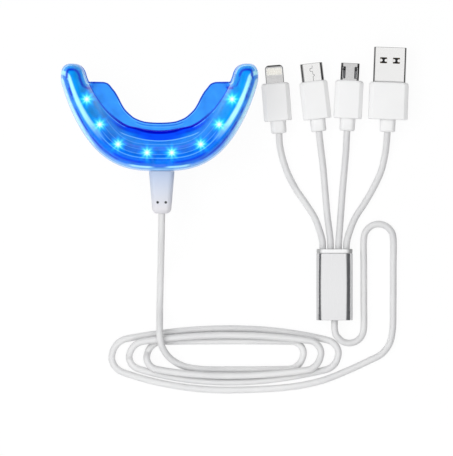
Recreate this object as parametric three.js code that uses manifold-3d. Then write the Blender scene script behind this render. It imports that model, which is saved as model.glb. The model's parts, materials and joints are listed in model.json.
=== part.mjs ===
// Mouth tray with its own light, fed by one thin lead that ends in four charging plugs.
// Millimetres, +Z up, +Y towards the open side of the tray. The whole set lies on a table
// at z = 0, with the origin under the middle of the tray and its boot.
import * as THREE from 'three';
import { mergeVertices } from 'three/addons/utils/BufferGeometryUtils.js';
import Module from 'manifold-3d';

const wasm = await Module();
wasm.setup();

// Clearances
const seat = 0.3; // between two pieces that touch on the real thing
const overrun = 2; // how far a cutter runs past the face that it cuts

// Tray of clear silicone
const tray = {
  halfWidth: 37, // reach of an arm, from the middle
  archDepth: 36, // front to where the outer curve would turn back
  widthPower: 2.936, // powers of the plan curve
  depthPower: 1.221,
  plateSetBack: 3, // square ends of the bite plate, short of that turn
  height: 25,
  frontWall: 14.5, // front face to the foot of the sloping wall, in the middle
  wallPower: 1.5, // how slowly the wall's outline changes along the arm
  plateThickness: 2,
  plateInnerHalfWidth: 16, // inner edge of the plate
  plateInnerFront: 17.7,
  plateWidthPower: 3.139,
  plateDepthPower: 1.274,
  plateCornerWidth: 5.4,
  plateCornerDepth: 4.4,
  tipLength: 6.8, // rounded end of an arm, past the plate
  tipLean: 6, // degrees outward
  tipWidthPower: 2.6, // powers of the tip's rounding, from above and from the side
  tipHeightPower: 3,
  notchHalfWidth: 3.6, // dip of both rims for the lip band
  notchDepth: 2.2,
  notchFloorShare: 0.5, // of that half width, level
  notchSlopeShare: 0.8,
};
const half = tray.height / 2;
const plateReach = tray.archDepth - tray.plateSetBack;

// Outline of the wall from the middle of the outer face, over the rim, to the foot of the
// inner face: shares of the wall's depth and of half the tray's height
const frontWallShares = [
  [0, 0], [0.02, 0.4], [0.085, 0.72], [0.155, 0.91], [0.21, 1],
  [0.305, 1], [0.395, 0.9], [0.57, 0.576], [0.78, 0.29], [1, 0.07],
];
const armWallShares = [
  [0, 0], [0.03, 0.4], [0.125, 0.72], [0.23, 0.91], [0.31, 1],
  [0.46, 1], [0.625, 0.93], [0.875, 0.66], [0.97, 0.32], [1, 0.07],
];
// Depth of the wall, of frontWall, at even steps from the middle to the end of an arm
const wallDepthShares = [1, 1.048, 0.931, 0.762, 0.655];
const tipStepShares = [0.3, 0.55, 0.76, 0.9, 0.98];
const notchStepShares = [0, 0.4, 0.8, 1.1, 1.5];
const wallSteps = 18;
const plateSteps = 14;
const plateCornerSteps = 4;
const flexSteps = 16;

// Folded flex board with two rows of light chips, in a slot inside the wall
const flex = {
  thickness: 0.3,
  bandWidth: 3.6, // sloping band that carries one row
  frontDepth: 6.7, // front face of the tray to the chips, in the middle
  frontHeight: 6.4, // above the fold
  frontTilt: 35.5, // degrees that the chips look up, in the middle
  armDepth: 7.2, // the same three at the ends of the plate
  armHeight: 5.8,
  armTilt: 26,
  frontFold: 7.9, // depth of the fold line
  armFold: 7.5,
  slotMargin: 0.3, // of the slot round the board and its chips
  endShare: 0.9, // of the way to the plate's end
};
const chip = { length: 2.4, width: 1.9, thickness: 0.7, corner: 0.4, bevel: 0.15 };
const chipShares = [0.09, 0.365, 0.6, 0.82]; // places along the outer curve, each side
const chipStack = chip.thickness / 2 + seat + flex.thickness;

// Boot that joins the lead to the tray
const boot = {
  x: 0.8, // it and the dip of the rims sit a little off the middle
  length: 15.6,
  frontWidth: 9.4, frontThickness: 8,
  backWidth: 6.8, backThickness: 5.6,
  corner: 2.2, endRound: 1.1,
  spigotWidth: 6.7, spigotThickness: 3.8, spigotLength: 2.4, spigotCorner: 1.2,
  pitRadius: 0.5, pitDepth: 1.2, pitPitch: 3, pitFromFront: 11.2,
};
const terminal = { width: 5.4, thickness: 1, notch: 0.8, notchLength: 1.6 };

const trayDepth = plateReach + tray.tipLength;
const frontY = (boot.length - trayDepth) / 2; // front face of the tray
const midZ = half;

// Lead
const cord = { diameter: 2.5, sideCount: 8 };
const floorZ = cord.diameter / 2;

// Loose coil of three turns: flat ovals with round ends, spiralling outward
const coil = {
  x: 25.8, y: -80.2,
  startTurn: -0.25, endTurn: 2.75,
  halfLength: 27.33, // at the right end of the first turn
  lengthStep: 6.48, // gained in each turn
  halfWidths: [5.3, 7.5, 9.9, 12.9], // of the turns, from the inside out
  endRadii: [5.1, 5.1, 5.1, 5.6, 5.1, 5.6, 6.5, 7], // left and right ends in turn
  raisedTurn: 1, // the turn that lies in the groove between its neighbours
  raise: 2.9,
  climb: 0.12, // of a turn, to climb up or down
  endSag: 0.8, // where that turn passes its free end
  widthBlend: 0.2, // of a turn, from one half width to the next
  stepsPerTurn: 24, sideCount: 6,
  endCrowding: 1.6, // power that moves steps from the long sides to the tight ends
};

// Metal sleeve where the lead divides
const splitter = {
  x: 64.68, y: -67.2,
  width: 13.5, thickness: 7, length: 26.4,
  corner: 3.1, wall: 1, capThickness: 1.5, bevel: 0.25,
};
const branchPitch = 2.92;

// Plugs. Each lies with its cord entry at x, y and points along its heading in degrees
const housingBevel = 0.5;
const pocketDepth = 1.5;
const eightPin = {
  x: 44.15, y: 1.98, heading: 94.5,
  width: 10.3, thickness: 6, length: 14.1, corner: 2.2,
  reliefWidth: 5.8, reliefThickness: 4.4, reliefLength: 4.6, reliefCorner: 1.5,
  tabWidth: 6.7, tabThickness: 1.5, tabLength: 6.6, tabCorner: 0.7, tabTipCorner: 1.4,
  windowWidth: 5.6, windowLength: 2.7, windowFromTip: 1.1, windowCorner: 0.4,
  insertInset: 0.3, grooveWidth: 0.22, grooveDepth: 0.15, contactCount: 8,
};
const typeC = {
  x: 58.9, y: 2.7, heading: 96.6,
  width: 10.4, thickness: 6.5, length: 14.1, corner: 2.4,
  reliefWidth: 5.8, reliefThickness: 4.4, reliefLength: 4.6, reliefCorner: 1.5,
  shellWidth: 8.25, shellThickness: 2.4, shellLength: 6.65, wall: 0.35,
  coreWall: 0.3, coreSetBack: 0.9,
};
const microB = {
  x: 69.3, y: 2.9, heading: 87.1,
  width: 10.4, thickness: 6.5, length: 14.1, corner: 2.4,
  reliefWidth: 5.8, reliefThickness: 4.4, reliefLength: 4.6, reliefCorner: 1.5,
  shellWidth: 6.85, shellThickness: 1.8, shellLength: 6.4, wall: 0.25, chamfer: 0.75,
  tongueThickness: 0.45, tongueWidth: 3.7, tongueSetBack: 0.6,
  slotPitch: 4.4, slotWidth: 1.3, slotFromNose: 1.3,
  latchWidth: 0.7, latchLength: 3.9, latchThickness: 0.25, hookRise: 0.35, hookLength: 0.9,
};
const typeA = {
  x: 84.2, y: 2.5, heading: 87.9,
  width: 14.5, thickness: 8, length: 13.8, corner: 2.4,
  reliefWidth: 5.9, reliefThickness: 4.6, reliefLength: 4.6, reliefCorner: 1.5,
  shellWidth: 12, shellThickness: 4.5, shellLength: 12.9, wall: 0.35, shellCorner: 0.5,
  windowWidth: 2.5, windowLength: 2.1, windowPitch: 4.75, windowFromNose: 4.9,
  tongueThickness: 1.8, tongueSetBack: 0.5,
  contactWidth: 1.1, contactThickness: 0.2, contactLength: 7.6,
  contactShares: [-0.32, -0.1, 0.1, 0.32], // across the tongue
};

// Plain helpers
const mix = (a, b, share) => a + (b - a) * share;
const limit = (value) => Math.min(1, Math.max(0, value));
const smooth = (value) => limit(value) ** 2 * (3 - 2 * limit(value));
const radians = (degrees) => THREE.MathUtils.degToRad(degrees);

function toSolid(geometry) {
  const bare = geometry.clone();
  bare.deleteAttribute('normal');
  bare.deleteAttribute('uv');
  const merged = mergeVertices(bare, 1e-5);
  const corners = merged.index.array;
  const faces = [];
  for (let i = 0; i < corners.length; i += 3) {
    const [a, b, c] = corners.slice(i, i + 3);
    if (a !== b && b !== c && c !== a) faces.push(a, b, c);
  }
  return new wasm.Manifold(new wasm.Mesh({
    numProp: 3,
    vertProperties: new Float32Array(merged.attributes.position.array),
    triVerts: new Uint32Array(faces),
  }));
}

function toGeometry(solid) {
  const mesh = solid.getMesh();
  const geometry = new THREE.BufferGeometry();
  geometry.setAttribute('position', new THREE.BufferAttribute(new Float32Array(mesh.vertProperties), 3));
  geometry.setIndex(new THREE.BufferAttribute(new Uint32Array(mesh.triVerts), 1));
  geometry.computeVertexNormals();
  return geometry;
}

function cut(geometry, ...tools) {
  let solid = toSolid(geometry);
  for (const tool of tools) solid = solid.subtract(toSolid(tool));
  return toGeometry(solid);
}

function join(geometry, ...others) {
  let solid = toSolid(geometry);
  for (const other of others) solid = solid.add(toSolid(other));
  return toGeometry(solid);
}

// Rectangle with rounded corners, centred on zero
function roundedShape(width, height, corner) {
  const x = width / 2;
  const y = height / 2;
  const r = Math.min(corner, x, y);
  const shape = new THREE.Shape();
  shape.moveTo(x, -y + r);
  shape.lineTo(x, y - r);
  shape.absarc(x - r, y - r, r, 0, Math.PI / 2);
  shape.lineTo(-x + r, y);
  shape.absarc(-x + r, y - r, r, Math.PI / 2, Math.PI);
  shape.lineTo(-x, -y + r);
  shape.absarc(-x + r, -y + r, r, Math.PI, Math.PI * 1.5);
  shape.lineTo(x - r, -y);
  shape.absarc(x - r, -y + r, r, Math.PI * 1.5, Math.PI * 2);
  return shape;
}

// Corner points of a closed outline, without the near copies where its curves meet
function outlineOf(shape, divisions) {
  const points = shape.getPoints(divisions);
  return points.filter((p, i) => p.distanceTo(points[(i + 1) % points.length]) > 1e-6);
}

// Bar along +Y from y = 0 to its length, centred on the axis. The shape is its section
function barOf(shape, length, bevel = 0, curveSegments = 4) {
  const geometry = new THREE.ExtrudeGeometry(shape, {
    depth: length - 2 * bevel,
    bevelEnabled: bevel > 0,
    bevelThickness: bevel,
    bevelSize: bevel,
    bevelOffset: -bevel,
    bevelSegments: 1,
    curveSegments,
  });
  geometry.translate(0, 0, bevel);
  geometry.rotateX(-Math.PI / 2);
  return geometry;
}

function bar(width, thickness, corner, length, bevel = 0) {
  return barOf(roundedShape(width, thickness, corner), length, bevel);
}

// Skin through closed loops of points, with a flat cap at each end
function loft(loops, capPoints) {
  const points = loops.flat();
  const count = loops[0].length;
  const faces = [];
  for (let row = 0; row + 1 < loops.length; row += 1) {
    for (let i = 0; i < count; i += 1) {
      const a = row * count + i;
      const b = row * count + (i + 1) % count;
      faces.push([a, b, b + count], [a, b + count, a + count]);
    }
  }
  const last = (loops.length - 1) * count;
  const turned = THREE.ShapeUtils.area(capPoints) < 0;
  for (const [a, b, c] of THREE.ShapeUtils.triangulateShape(capPoints, [])) {
    const [first, third] = turned ? [c, a] : [a, c];
    faces.push([third, b, first], [last + first, last + b, last + third]);
  }
  let volume = 0;
  for (const [a, b, c] of faces) {
    volume += points[a].dot(points[b].clone().cross(points[c]));
  }
  const outward = volume > 0 ? faces : faces.map(([a, b, c]) => [c, b, a]);
  const geometry = new THREE.BufferGeometry();
  geometry.setAttribute('position', new THREE.Float32BufferAttribute(points.flatMap((p) => p.toArray()), 3));
  geometry.setIndex(outward.flat());
  return geometry;
}

const device = new THREE.Group();

function addPiece(name, geometry, material, parent = device) {
  const mesh = new THREE.Mesh(geometry, material.clone());
  mesh.name = name;
  parent.add(mesh);
  return mesh;
}

const finish = (color, roughness, metalness = 0) => (
  new THREE.MeshStandardMaterial({ color, roughness, metalness })
);
const silicone = finish('#4fb2ff', 0.25);
silicone.transparent = true;
silicone.opacity = 0.6;
const whiteRubber = finish('#efeff1', 0.5);
const whitePlastic = finish('#f2f1f2', 0.35);
const brushedAluminium = finish('#d9dadc', 0.35, 1);
const platedSteel = finish('#c9cacc', 0.25, 1);
const goldPlate = finish('#d8b25c', 0.3, 1);
const boardGreen = finish('#1f6d63', 0.5);
const insulator = finish('#2b2d31', 0.5);
const flexFilm = finish('#f4f6f8', 0.45);
const chipLight = finish('#dff6ff', 0.2);
chipLight.emissive.set('#bfeaff');

// Outer plan curve of the tray, from the middle of its front to the end of one arm
const archEndAngle = Math.acos((tray.plateSetBack / tray.archDepth) ** (tray.depthPower / 2));

class ArchCurve extends THREE.Curve {
  getPoint(u, target = new THREE.Vector3()) {
    const angle = archEndAngle * u;
    const x = tray.halfWidth * Math.sin(angle) ** (2 / tray.widthPower);
    const y = tray.archDepth * (1 - Math.cos(angle) ** (2 / tray.depthPower));
    return target.set(x, y, 0);
  }
}
const arch = new ArchCurve();
arch.arcLengthDivisions = 600;
const archLength = arch.getLength();

// A place in the wall: share of the arm's length, side (1 right, -1 left), depth behind the
// outer face and height above the middle of the tray
function inWall(share, side, depth, height) {
  const point = arch.getPointAt(share);
  const along = arch.getTangentAt(share);
  return new THREE.Vector3(
    side * (point.x - along.y * depth),
    frontY + point.y + along.x * depth,
    midZ + height,
  );
}

const wallDepths = new THREE.SplineCurve(
  wallDepthShares.map((share, i) => new THREE.Vector2(i, share * tray.frontWall)),
);
const endWall = wallDepths.getPoint(1).y;

function wallSection(share, side) {
  const blend = share ** tray.wallPower;
  const depth = wallDepths.getPoint(share).y;
  const fromNotch = Math.abs(side * share * archLength - boot.x) / tray.notchHalfWidth;
  const dip = tray.notchDepth * (1 - smooth((fromNotch - tray.notchFloorShare) / tray.notchSlopeShare));
  const upper = frontWallShares.map(([frontD, frontZ], i) => {
    const [armD, armZ] = armWallShares[i];
    const rise = mix(frontZ, armZ, blend);
    return [depth * mix(frontD, armD, blend), half * rise - dip * limit(2 * rise - 1)];
  });
  const lower = upper.slice(1).reverse().map(([d, z]) => [d, -z]);
  return [...upper, ...lower];
}

// The rounded end of an arm narrows and sinks towards its tip
function tipLoop(step, side) {
  const section = wallSection(1, side);
  const middle = endWall / 2;
  const narrow = (1 - step ** tray.tipWidthPower) ** (1 / tray.tipWidthPower);
  const flatten = (1 - step ** tray.tipHeightPower) ** (1 / tray.tipHeightPower);
  const root = arch.getPoint(1);
  const lean = radians(tray.tipLean);
  return section.map(([d, z]) => {
    const depth = middle + (d - middle) * narrow;
    return new THREE.Vector3(
      side * (root.x + Math.sin(lean) * step * tray.tipLength - Math.cos(lean) * depth),
      frontY + root.y + Math.cos(lean) * step * tray.tipLength + Math.sin(lean) * depth * (1 - step),
      midZ + z * flatten,
    );
  });
}

function wallGeometry() {
  const first = notchStepShares.map((share) => share * tray.notchHalfWidth / archLength);
  const start = first[first.length - 1];
  const rest = Array.from({ length: wallSteps }, (_, i) => mix(start, 1, (i + 1) / wallSteps));
  const shares = [...first, ...rest];
  const armLoops = (side) => [
    ...shares.map((share) => wallSection(share, side).map(([d, z]) => inWall(share, side, d, z))),
    ...tipStepShares.map((step) => tipLoop(step, side)),
  ];
  const loops = [...armLoops(-1).reverse(), ...armLoops(1).slice(1)];
  const cap = wallSection(1, 1).map(([d, z]) => new THREE.Vector2(d, z));
  return loft(loops, cap);
}

function plateGeometry() {
  const anchor = endWall / 2; // the plate's hidden edge lies inside the wall
  const end = frontY + plateReach;
  const innerDepth = plateReach - tray.plateInnerFront - tray.plateCornerDepth;
  const outer = [];
  const inner = [];
  for (let i = 0; i <= plateSteps; i += 1) {
    const point = inWall(i / plateSteps, 1, anchor, 0);
    outer.push(new THREE.Vector2(point.x, Math.min(point.y, end)));
    const angle = (Math.PI / 2) * (1 - i / plateSteps);
    const x = tray.plateInnerHalfWidth * Math.sin(angle) ** (2 / tray.plateWidthPower);
    const y = innerDepth * (1 - Math.cos(angle) ** (2 / tray.plateDepthPower));
    inner.push(new THREE.Vector2(x, frontY + tray.plateInnerFront + y));
  }
  const corner = [];
  for (let i = 0; i <= plateCornerSteps; i += 1) {
    const angle = (Math.PI / 2) * (i / plateCornerSteps);
    corner.push(new THREE.Vector2(
      inner[0].x + tray.plateCornerWidth * (1 - Math.sin(angle)),
      end - tray.plateCornerDepth * (1 - Math.cos(angle)),
    ));
  }
  const right = [...outer, ...corner, ...inner.slice(1, -1)];
  const left = right.slice(1).reverse().map((p) => new THREE.Vector2(-p.x, p.y));
  const middle = inner[inner.length - 1];
  const shape = new THREE.Shape([...right, middle, ...left]);
  const geometry = new THREE.ExtrudeGeometry(shape, { depth: tray.plateThickness, bevelEnabled: false });
  geometry.translate(0, 0, midZ - tray.plateThickness / 2);
  return geometry;
}

// Section of the folded board, or of the slot round it when it is given a margin: two bands
// that slope back to a fold on the middle plane
function foldedSection(share, front, back, halfBand, foldMargin) {
  const blend = share ** tray.wallPower;
  const depth = mix(flex.frontDepth, flex.armDepth, blend);
  const height = mix(flex.frontHeight, flex.armHeight, blend);
  const tilt = radians(mix(flex.frontTilt, flex.armTilt, blend));
  const fold = mix(flex.frontFold, flex.armFold, blend);
  const at = (along, out) => [
    depth + Math.sin(tilt) * along + Math.cos(tilt) * out,
    height - Math.cos(tilt) * along + Math.sin(tilt) * out,
  ];
  const face = [at(-halfBand, front), at(halfBand, front)];
  const rear = [at(halfBand, back), at(-halfBand, back)];
  const flip = ([d, z]) => [d, -z];
  return [
    ...face, [fold + flex.thickness / 2 + foldMargin, 0], ...face.map(flip).reverse(),
    ...rear.map(flip).reverse(), [fold - flex.thickness / 2 - foldMargin, 0], ...rear,
  ];
}

function foldedGeometry(front, back, halfBand, foldMargin, endShare) {
  const loops = [];
  for (let i = -flexSteps; i <= flexSteps; i += 1) {
    const share = Math.abs(i / flexSteps) * endShare;
    const side = i < 0 ? -1 : 1;
    const section = foldedSection(share, front, back, halfBand, foldMargin);
    loops.push(section.map(([d, z]) => inWall(share, side, d, z)));
  }
  const cap = foldedSection(endShare, front, back, halfBand, foldMargin);
  return loft(loops, cap.map(([d, z]) => new THREE.Vector2(d, z)));
}

function makeTray() {
  const slotFront = chip.thickness / 2 + flex.slotMargin;
  const slotBack = -chipStack - flex.slotMargin;
  const slotBand = flex.bandWidth / 2 + flex.slotMargin;
  const slotEnd = flex.endShare + flex.slotMargin / archLength;
  const slot = foldedGeometry(slotFront, slotBack, slotBand, 2 * flex.slotMargin, slotEnd);
  const port = bar(
    boot.spigotWidth + 2 * seat, boot.spigotThickness + 2 * seat,
    boot.spigotCorner + seat, overrun + flex.frontFold,
  );
  port.translate(boot.x, frontY - overrun, midZ);
  const solid = toSolid(wallGeometry()).add(toSolid(plateGeometry()));
  const hollow = toSolid(slot).add(toSolid(port));
  addPiece('tray', toGeometry(solid.subtract(hollow)), silicone);
}

function makeLightBoard() {
  const front = -chip.thickness / 2 - seat;
  const board = foldedGeometry(front, -chipStack, flex.bandWidth / 2, 0, flex.endShare);
  addPiece('led_flex', board, flexFilm);

  const chipBody = barOf(roundedShape(chip.length, chip.width, chip.corner), chip.thickness, chip.bevel, 2);
  chipBody.translate(0, -chip.thickness / 2, 0);
  for (const [row, flip] of [['upper', 1], ['lower', -1]]) {
    const places = [
      ...chipShares.map((share) => [share, -1]).reverse(),
      ...chipShares.map((share) => [share, 1]),
    ];
    places.forEach(([share, side], i) => {
      const blend = share ** tray.wallPower;
      const tilt = radians(mix(flex.frontTilt, flex.armTilt, blend));
      const depth = mix(flex.frontDepth, flex.armDepth, blend);
      const height = mix(flex.frontHeight, flex.armHeight, blend) * flip;
      const along = arch.getTangentAt(share);
      const inward = new THREE.Vector3(-side * along.y, along.x, 0);
      const look = inward.multiplyScalar(Math.cos(tilt));
      look.z = Math.sin(tilt) * flip;
      const across = new THREE.Vector3(along.x, side * along.y, 0);
      const led = addPiece(`led_${row}_${i + 1}`, chipBody.clone(), chipLight);
      const basis = new THREE.Matrix4().makeBasis(across, look, across.clone().cross(look));
      led.setRotationFromMatrix(basis);
      led.position.copy(inWall(share, side, depth, height));
    });
  }
}

// Boot, pointing along -Y in its own frame from the tray's face at y = 0
function makeBoot() {
  const group = new THREE.Group();
  group.position.set(boot.x, frontY - seat, midZ);
  device.add(group);

  const endShares = [0, 0.35, 0.7, 1];
  const straight = (boot.length - seat - boot.endRound) / (boot.length - seat);
  const rings = [[0, 0], [0.5 * straight, 0], [straight, 0]];
  for (const share of endShares.slice(1)) rings.push([mix(straight, 1, share), share]);
  const loops = rings.map(([share, rounding]) => {
    const shrink = boot.endRound * (1 - Math.sqrt(1 - (0.95 * rounding) ** 2));
    const width = mix(boot.frontWidth, boot.backWidth, share) - 2 * shrink;
    const thickness = mix(boot.frontThickness, boot.backThickness, share) - 2 * shrink;
    const outline = outlineOf(roundedShape(width, thickness, boot.corner - shrink), 5);
    return outline.map((p) => new THREE.Vector3(p.x, -share * (boot.length - seat), p.y));
  });
  const cap = loops[0].map((p) => new THREE.Vector2(p.x, p.z));
  const spigot = bar(
    boot.spigotWidth, boot.spigotThickness, boot.spigotCorner, boot.spigotLength + boot.corner,
  );
  spigot.translate(0, -boot.corner, 0);
  const pits = [-1, 1].map((side) => {
    const pit = new THREE.CylinderGeometry(boot.pitRadius, boot.pitRadius, 2 * boot.pitDepth, 12);
    pit.rotateX(Math.PI / 2);
    const share = boot.pitFromFront / boot.length;
    const top = mix(boot.frontThickness, boot.backThickness, share) / 2;
    pit.translate(side * boot.pitPitch / 2, -boot.pitFromFront, top);
    return pit;
  });
  addPiece('boot', cut(join(loft(loops, cap), spigot), ...pits), whiteRubber, group);

  const boardStart = boot.spigotLength + seat;
  const boardLength = flex.frontFold - flex.thickness / 2 - seat - boardStart;
  const board = bar(terminal.width, terminal.thickness, terminal.thickness / 4, boardLength);
  const relief = bar(terminal.notch, terminal.thickness + overrun, 0, terminal.notchLength);
  relief.translate(0, boardLength - terminal.notchLength / 2, 0);
  const plate = cut(board, relief);
  plate.translate(0, boardStart, 0);
  addPiece('terminal_board', plate, boardGreen, group);
  return group;
}

// Free cord: one smooth tube through its route
const leadSteps = 40;
const tailSteps = 78;
const branchSteps = 20;

function addCord(name, route, steps) {
  const path = new THREE.CatmullRomCurve3(route.map((p) => new THREE.Vector3(...p)), false, 'centripetal');
  const section = new THREE.Shape();
  section.absarc(0, 0, cord.diameter / 2, 0, Math.PI * 2);
  const geometry = new THREE.ExtrudeGeometry(section, {
    steps, extrudePath: path, curveSegments: cord.sideCount / 2, bevelEnabled: false,
  });
  addPiece(name, geometry, whiteRubber);
  return path;
}

// Centre line of the coil. Each turn is an oval of two end arcs and two long side arcs
class CoilCurve extends THREE.Curve {
  getUtoTmapping(u) {
    return u; // steps follow the turns, and not the length
  }

  getPoint(u, target = new THREE.Vector3()) {
    const turn = mix(coil.startTurn, coil.endTurn, u);
    const a = coil.halfLength + coil.lengthStep * turn;
    const widths = coil.halfWidths;
    const k = Math.max(0, Math.round(turn - 0.5));
    const b = mix(widths[k], widths[k + 1], smooth((turn - 0.5 - k) / coil.widthBlend + 0.5));
    const end = Math.min(Math.floor(2 * turn + 1), coil.endRadii.length - 2);
    const r = mix(coil.endRadii[end], coil.endRadii[end + 1], 2 * turn + 1 - end);
    const sideRadius = (a * a + b * b - 2 * a * r) / (2 * (b - r));
    const joint = Math.atan2(sideRadius - b, a - r);
    const quarter = r * joint + sideRadius * (Math.PI / 2 - joint);
    const phase = ((turn % 1) + 1) % 1 * 4;
    const toRight = phase < 1 || phase >= 3;
    const toRear = phase < 2;
    const fromEnd = (1 - Math.abs((phase % 2) - 1)) ** coil.endCrowding * quarter;
    const angle = fromEnd < r * joint ? fromEnd / r : joint + (fromEnd - r * joint) / sideRadius;
    const onEnd = fromEnd < r * joint;
    const x = onEnd ? a - r + r * Math.cos(angle) : sideRadius * Math.cos(angle);
    const y = onEnd ? r * Math.sin(angle) : sideRadius * Math.sin(angle) - (sideRadius - b);
    const offCentre = Math.abs(turn - coil.raisedTurn);
    const lifted = coil.raise * smooth((0.5 + coil.climb / 2 - offCentre) / coil.climb);
    const sagged = coil.endSag * smooth(1 - offCentre / coil.climb);
    return target.set(
      coil.x + (toRight ? x : -x),
      coil.y + (toRear ? y : -y),
      floorZ + lifted - sagged,
    );
  }
}

// Least clear gap between stretches of one cord that are further apart along it than a bend
function leastGap(points, bendLength) {
  const along = [0];
  for (let i = 1; i < points.length; i += 1) {
    along.push(along[i - 1] + points[i].distanceTo(points[i - 1]));
  }
  let least = Infinity;
  for (let i = 0; i < points.length; i += 1) {
    for (let j = i + 1; j < points.length; j += 1) {
      if (along[j] - along[i] > bendLength) least = Math.min(least, points[i].distanceTo(points[j]));
    }
  }
  return least - cord.diameter;
}

function makeCoil() {
  const path = new CoilCurve();
  const section = new THREE.Shape();
  section.absarc(0, 0, cord.diameter / 2, 0, Math.PI * 2);
  const turns = coil.endTurn - coil.startTurn;
  const geometry = new THREE.ExtrudeGeometry(section, {
    steps: Math.round(turns * coil.stepsPerTurn),
    extrudePath: path,
    curveSegments: coil.sideCount / 2,
    bevelEnabled: false,
  });
  addPiece('cord_coil', geometry, whiteRubber);
  return path;
}

// Routes of the free stretches, chosen by hand
const leadRoute = [
  [boot.x, frontY - seat - boot.length, midZ],
  [0.75, -32, 12.2], [0.65, -37, 10.5], [0.5, -42.5, 7], [0.35, -48, 3.4],
  [0.2, -53.5, 1.5], [0.1, -58, 1.3], [0, -62, 2.1], [0, -66, 4.2], [0, -69.5, 6.1],
  [0, -72.5, 7.1], [0.35, -75.3, 6.9], [1.3, -77.8, 5.6], [3, -80.4, 4], [5.6, -82.6, 2.4],
  [9.2, -84.3, 1.45], [14, -85.2, floorZ], [20, -85.5, floorZ],
  [coil.x - seat, coil.y - coil.halfWidths[0], floorZ],
];
const tailRoute = [
  [coil.x + seat, coil.y - coil.halfWidths[3], floorZ], [34, -92.9, floorZ], [44.5, -92.3, floorZ],
  [53, -91.2, floorZ], [61.2, -89.2, floorZ], [69.4, -85.9, floorZ], [77.2, -82.3, floorZ],
  [82, -79.8, floorZ], [84.9, -76.2, floorZ], [86.1, -71.4, floorZ], [86.4, -60.3, floorZ],
  [86.45, -48, floorZ], [86.45, -37.1, floorZ], [86, -34.9, floorZ], [84.8, -33.15, floorZ],
  [83.05, -32, floorZ], [81, -31.6, floorZ], [78.95, -32, floorZ], [77.2, -33.15, floorZ],
  [76, -34.9, floorZ], [75.55, -37.1, floorZ], [75.55, -48, floorZ], [75.55, -60, floorZ],
  [75.52, -70.2, floorZ], [75.1, -72.3, floorZ], [73.95, -74.1, 1.35], [72.2, -75.25, 1.5],
  [70.1, -75.65, 1.8], [68, -75.25, 2.2], [66.35, -74, 2.7], [65.1, -72.3, 3.1], [64.68, -70.2, 3.3],
  [splitter.x, splitter.y - seat, splitter.thickness / 2],
];

function makeMainCord() {
  const lead = addCord('cord_lead', leadRoute, leadSteps);
  const paths = [lead, makeCoil(), addCord('cord_tail', tailRoute, tailSteps)];
  const points = paths.flatMap((path) => path.getSpacedPoints(Math.round(path.getLength())));
  const length = paths.reduce((sum, path) => sum + path.getLength(), 0);
  const gap = leastGap(points, 4 * cord.diameter);
  console.log('main cord', length.toFixed(1), 'mm, least gap to itself', gap.toFixed(2), 'mm');
}

// Metal sleeve over a moulded core. The base plugs its foot, and the collar caps its head
function makeSplitter() {
  const group = new THREE.Group();
  group.position.set(splitter.x, splitter.y, splitter.thickness / 2);
  device.add(group);
  const { width, thickness, corner, wall, capThickness, length, bevel } = splitter;
  const sleeveLength = length - capThickness - seat;
  const sleeveShape = roundedShape(width, thickness, corner);
  const bore = roundedShape(width - 2 * wall, thickness - 2 * wall, corner - wall);
  sleeveShape.holes.push(bore);
  const sleeve = barOf(sleeveShape, sleeveLength);
  addPiece('splitter_sleeve', sleeve, brushedAluminium, group);

  const inner = wall + seat;
  const plug = (plugLength, edge) => bar(
    width - 2 * inner, thickness - 2 * inner, corner - inner, plugLength, edge,
  );
  addPiece('splitter_base', plug(capThickness, bevel), whitePlastic, group);
  const core = plug(sleeveLength - capThickness - seat);
  core.translate(0, capThickness + seat, 0);
  addPiece('splitter_core', core, whitePlastic, group);

  const collar = bar(width, thickness, corner, capThickness, bevel);
  collar.translate(0, length - capThickness, 0);
  addPiece('splitter_collar', collar, whitePlastic, group);
}

function plugGroup(plug) {
  const group = new THREE.Group();
  group.position.set(plug.x, plug.y, plug.thickness / 2);
  group.rotation.z = radians(plug.heading - 90);
  device.add(group);
  return group;
}

// Moulded housing with its strain relief. The pocket in its nose takes the metal shell
function makeHousing(name, plug, group, pocketShape) {
  const relief = bar(plug.reliefWidth, plug.reliefThickness, plug.reliefCorner, plug.reliefLength - seat, seat);
  addPiece(`${name}_relief`, relief, whiteRubber, group);
  const housing = bar(plug.width, plug.thickness, plug.corner, plug.length, housingBevel);
  housing.translate(0, plug.reliefLength, 0);
  const pocket = barOf(pocketShape, pocketDepth + overrun);
  pocket.translate(0, noseOf(plug) - pocketDepth, 0);
  addPiece(`${name}_housing`, cut(housing, pocket), whitePlastic, group);
}

const noseOf = (plug) => plug.reliefLength + plug.length;
const shellRoot = (plug) => noseOf(plug) - pocketDepth + seat;

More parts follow.
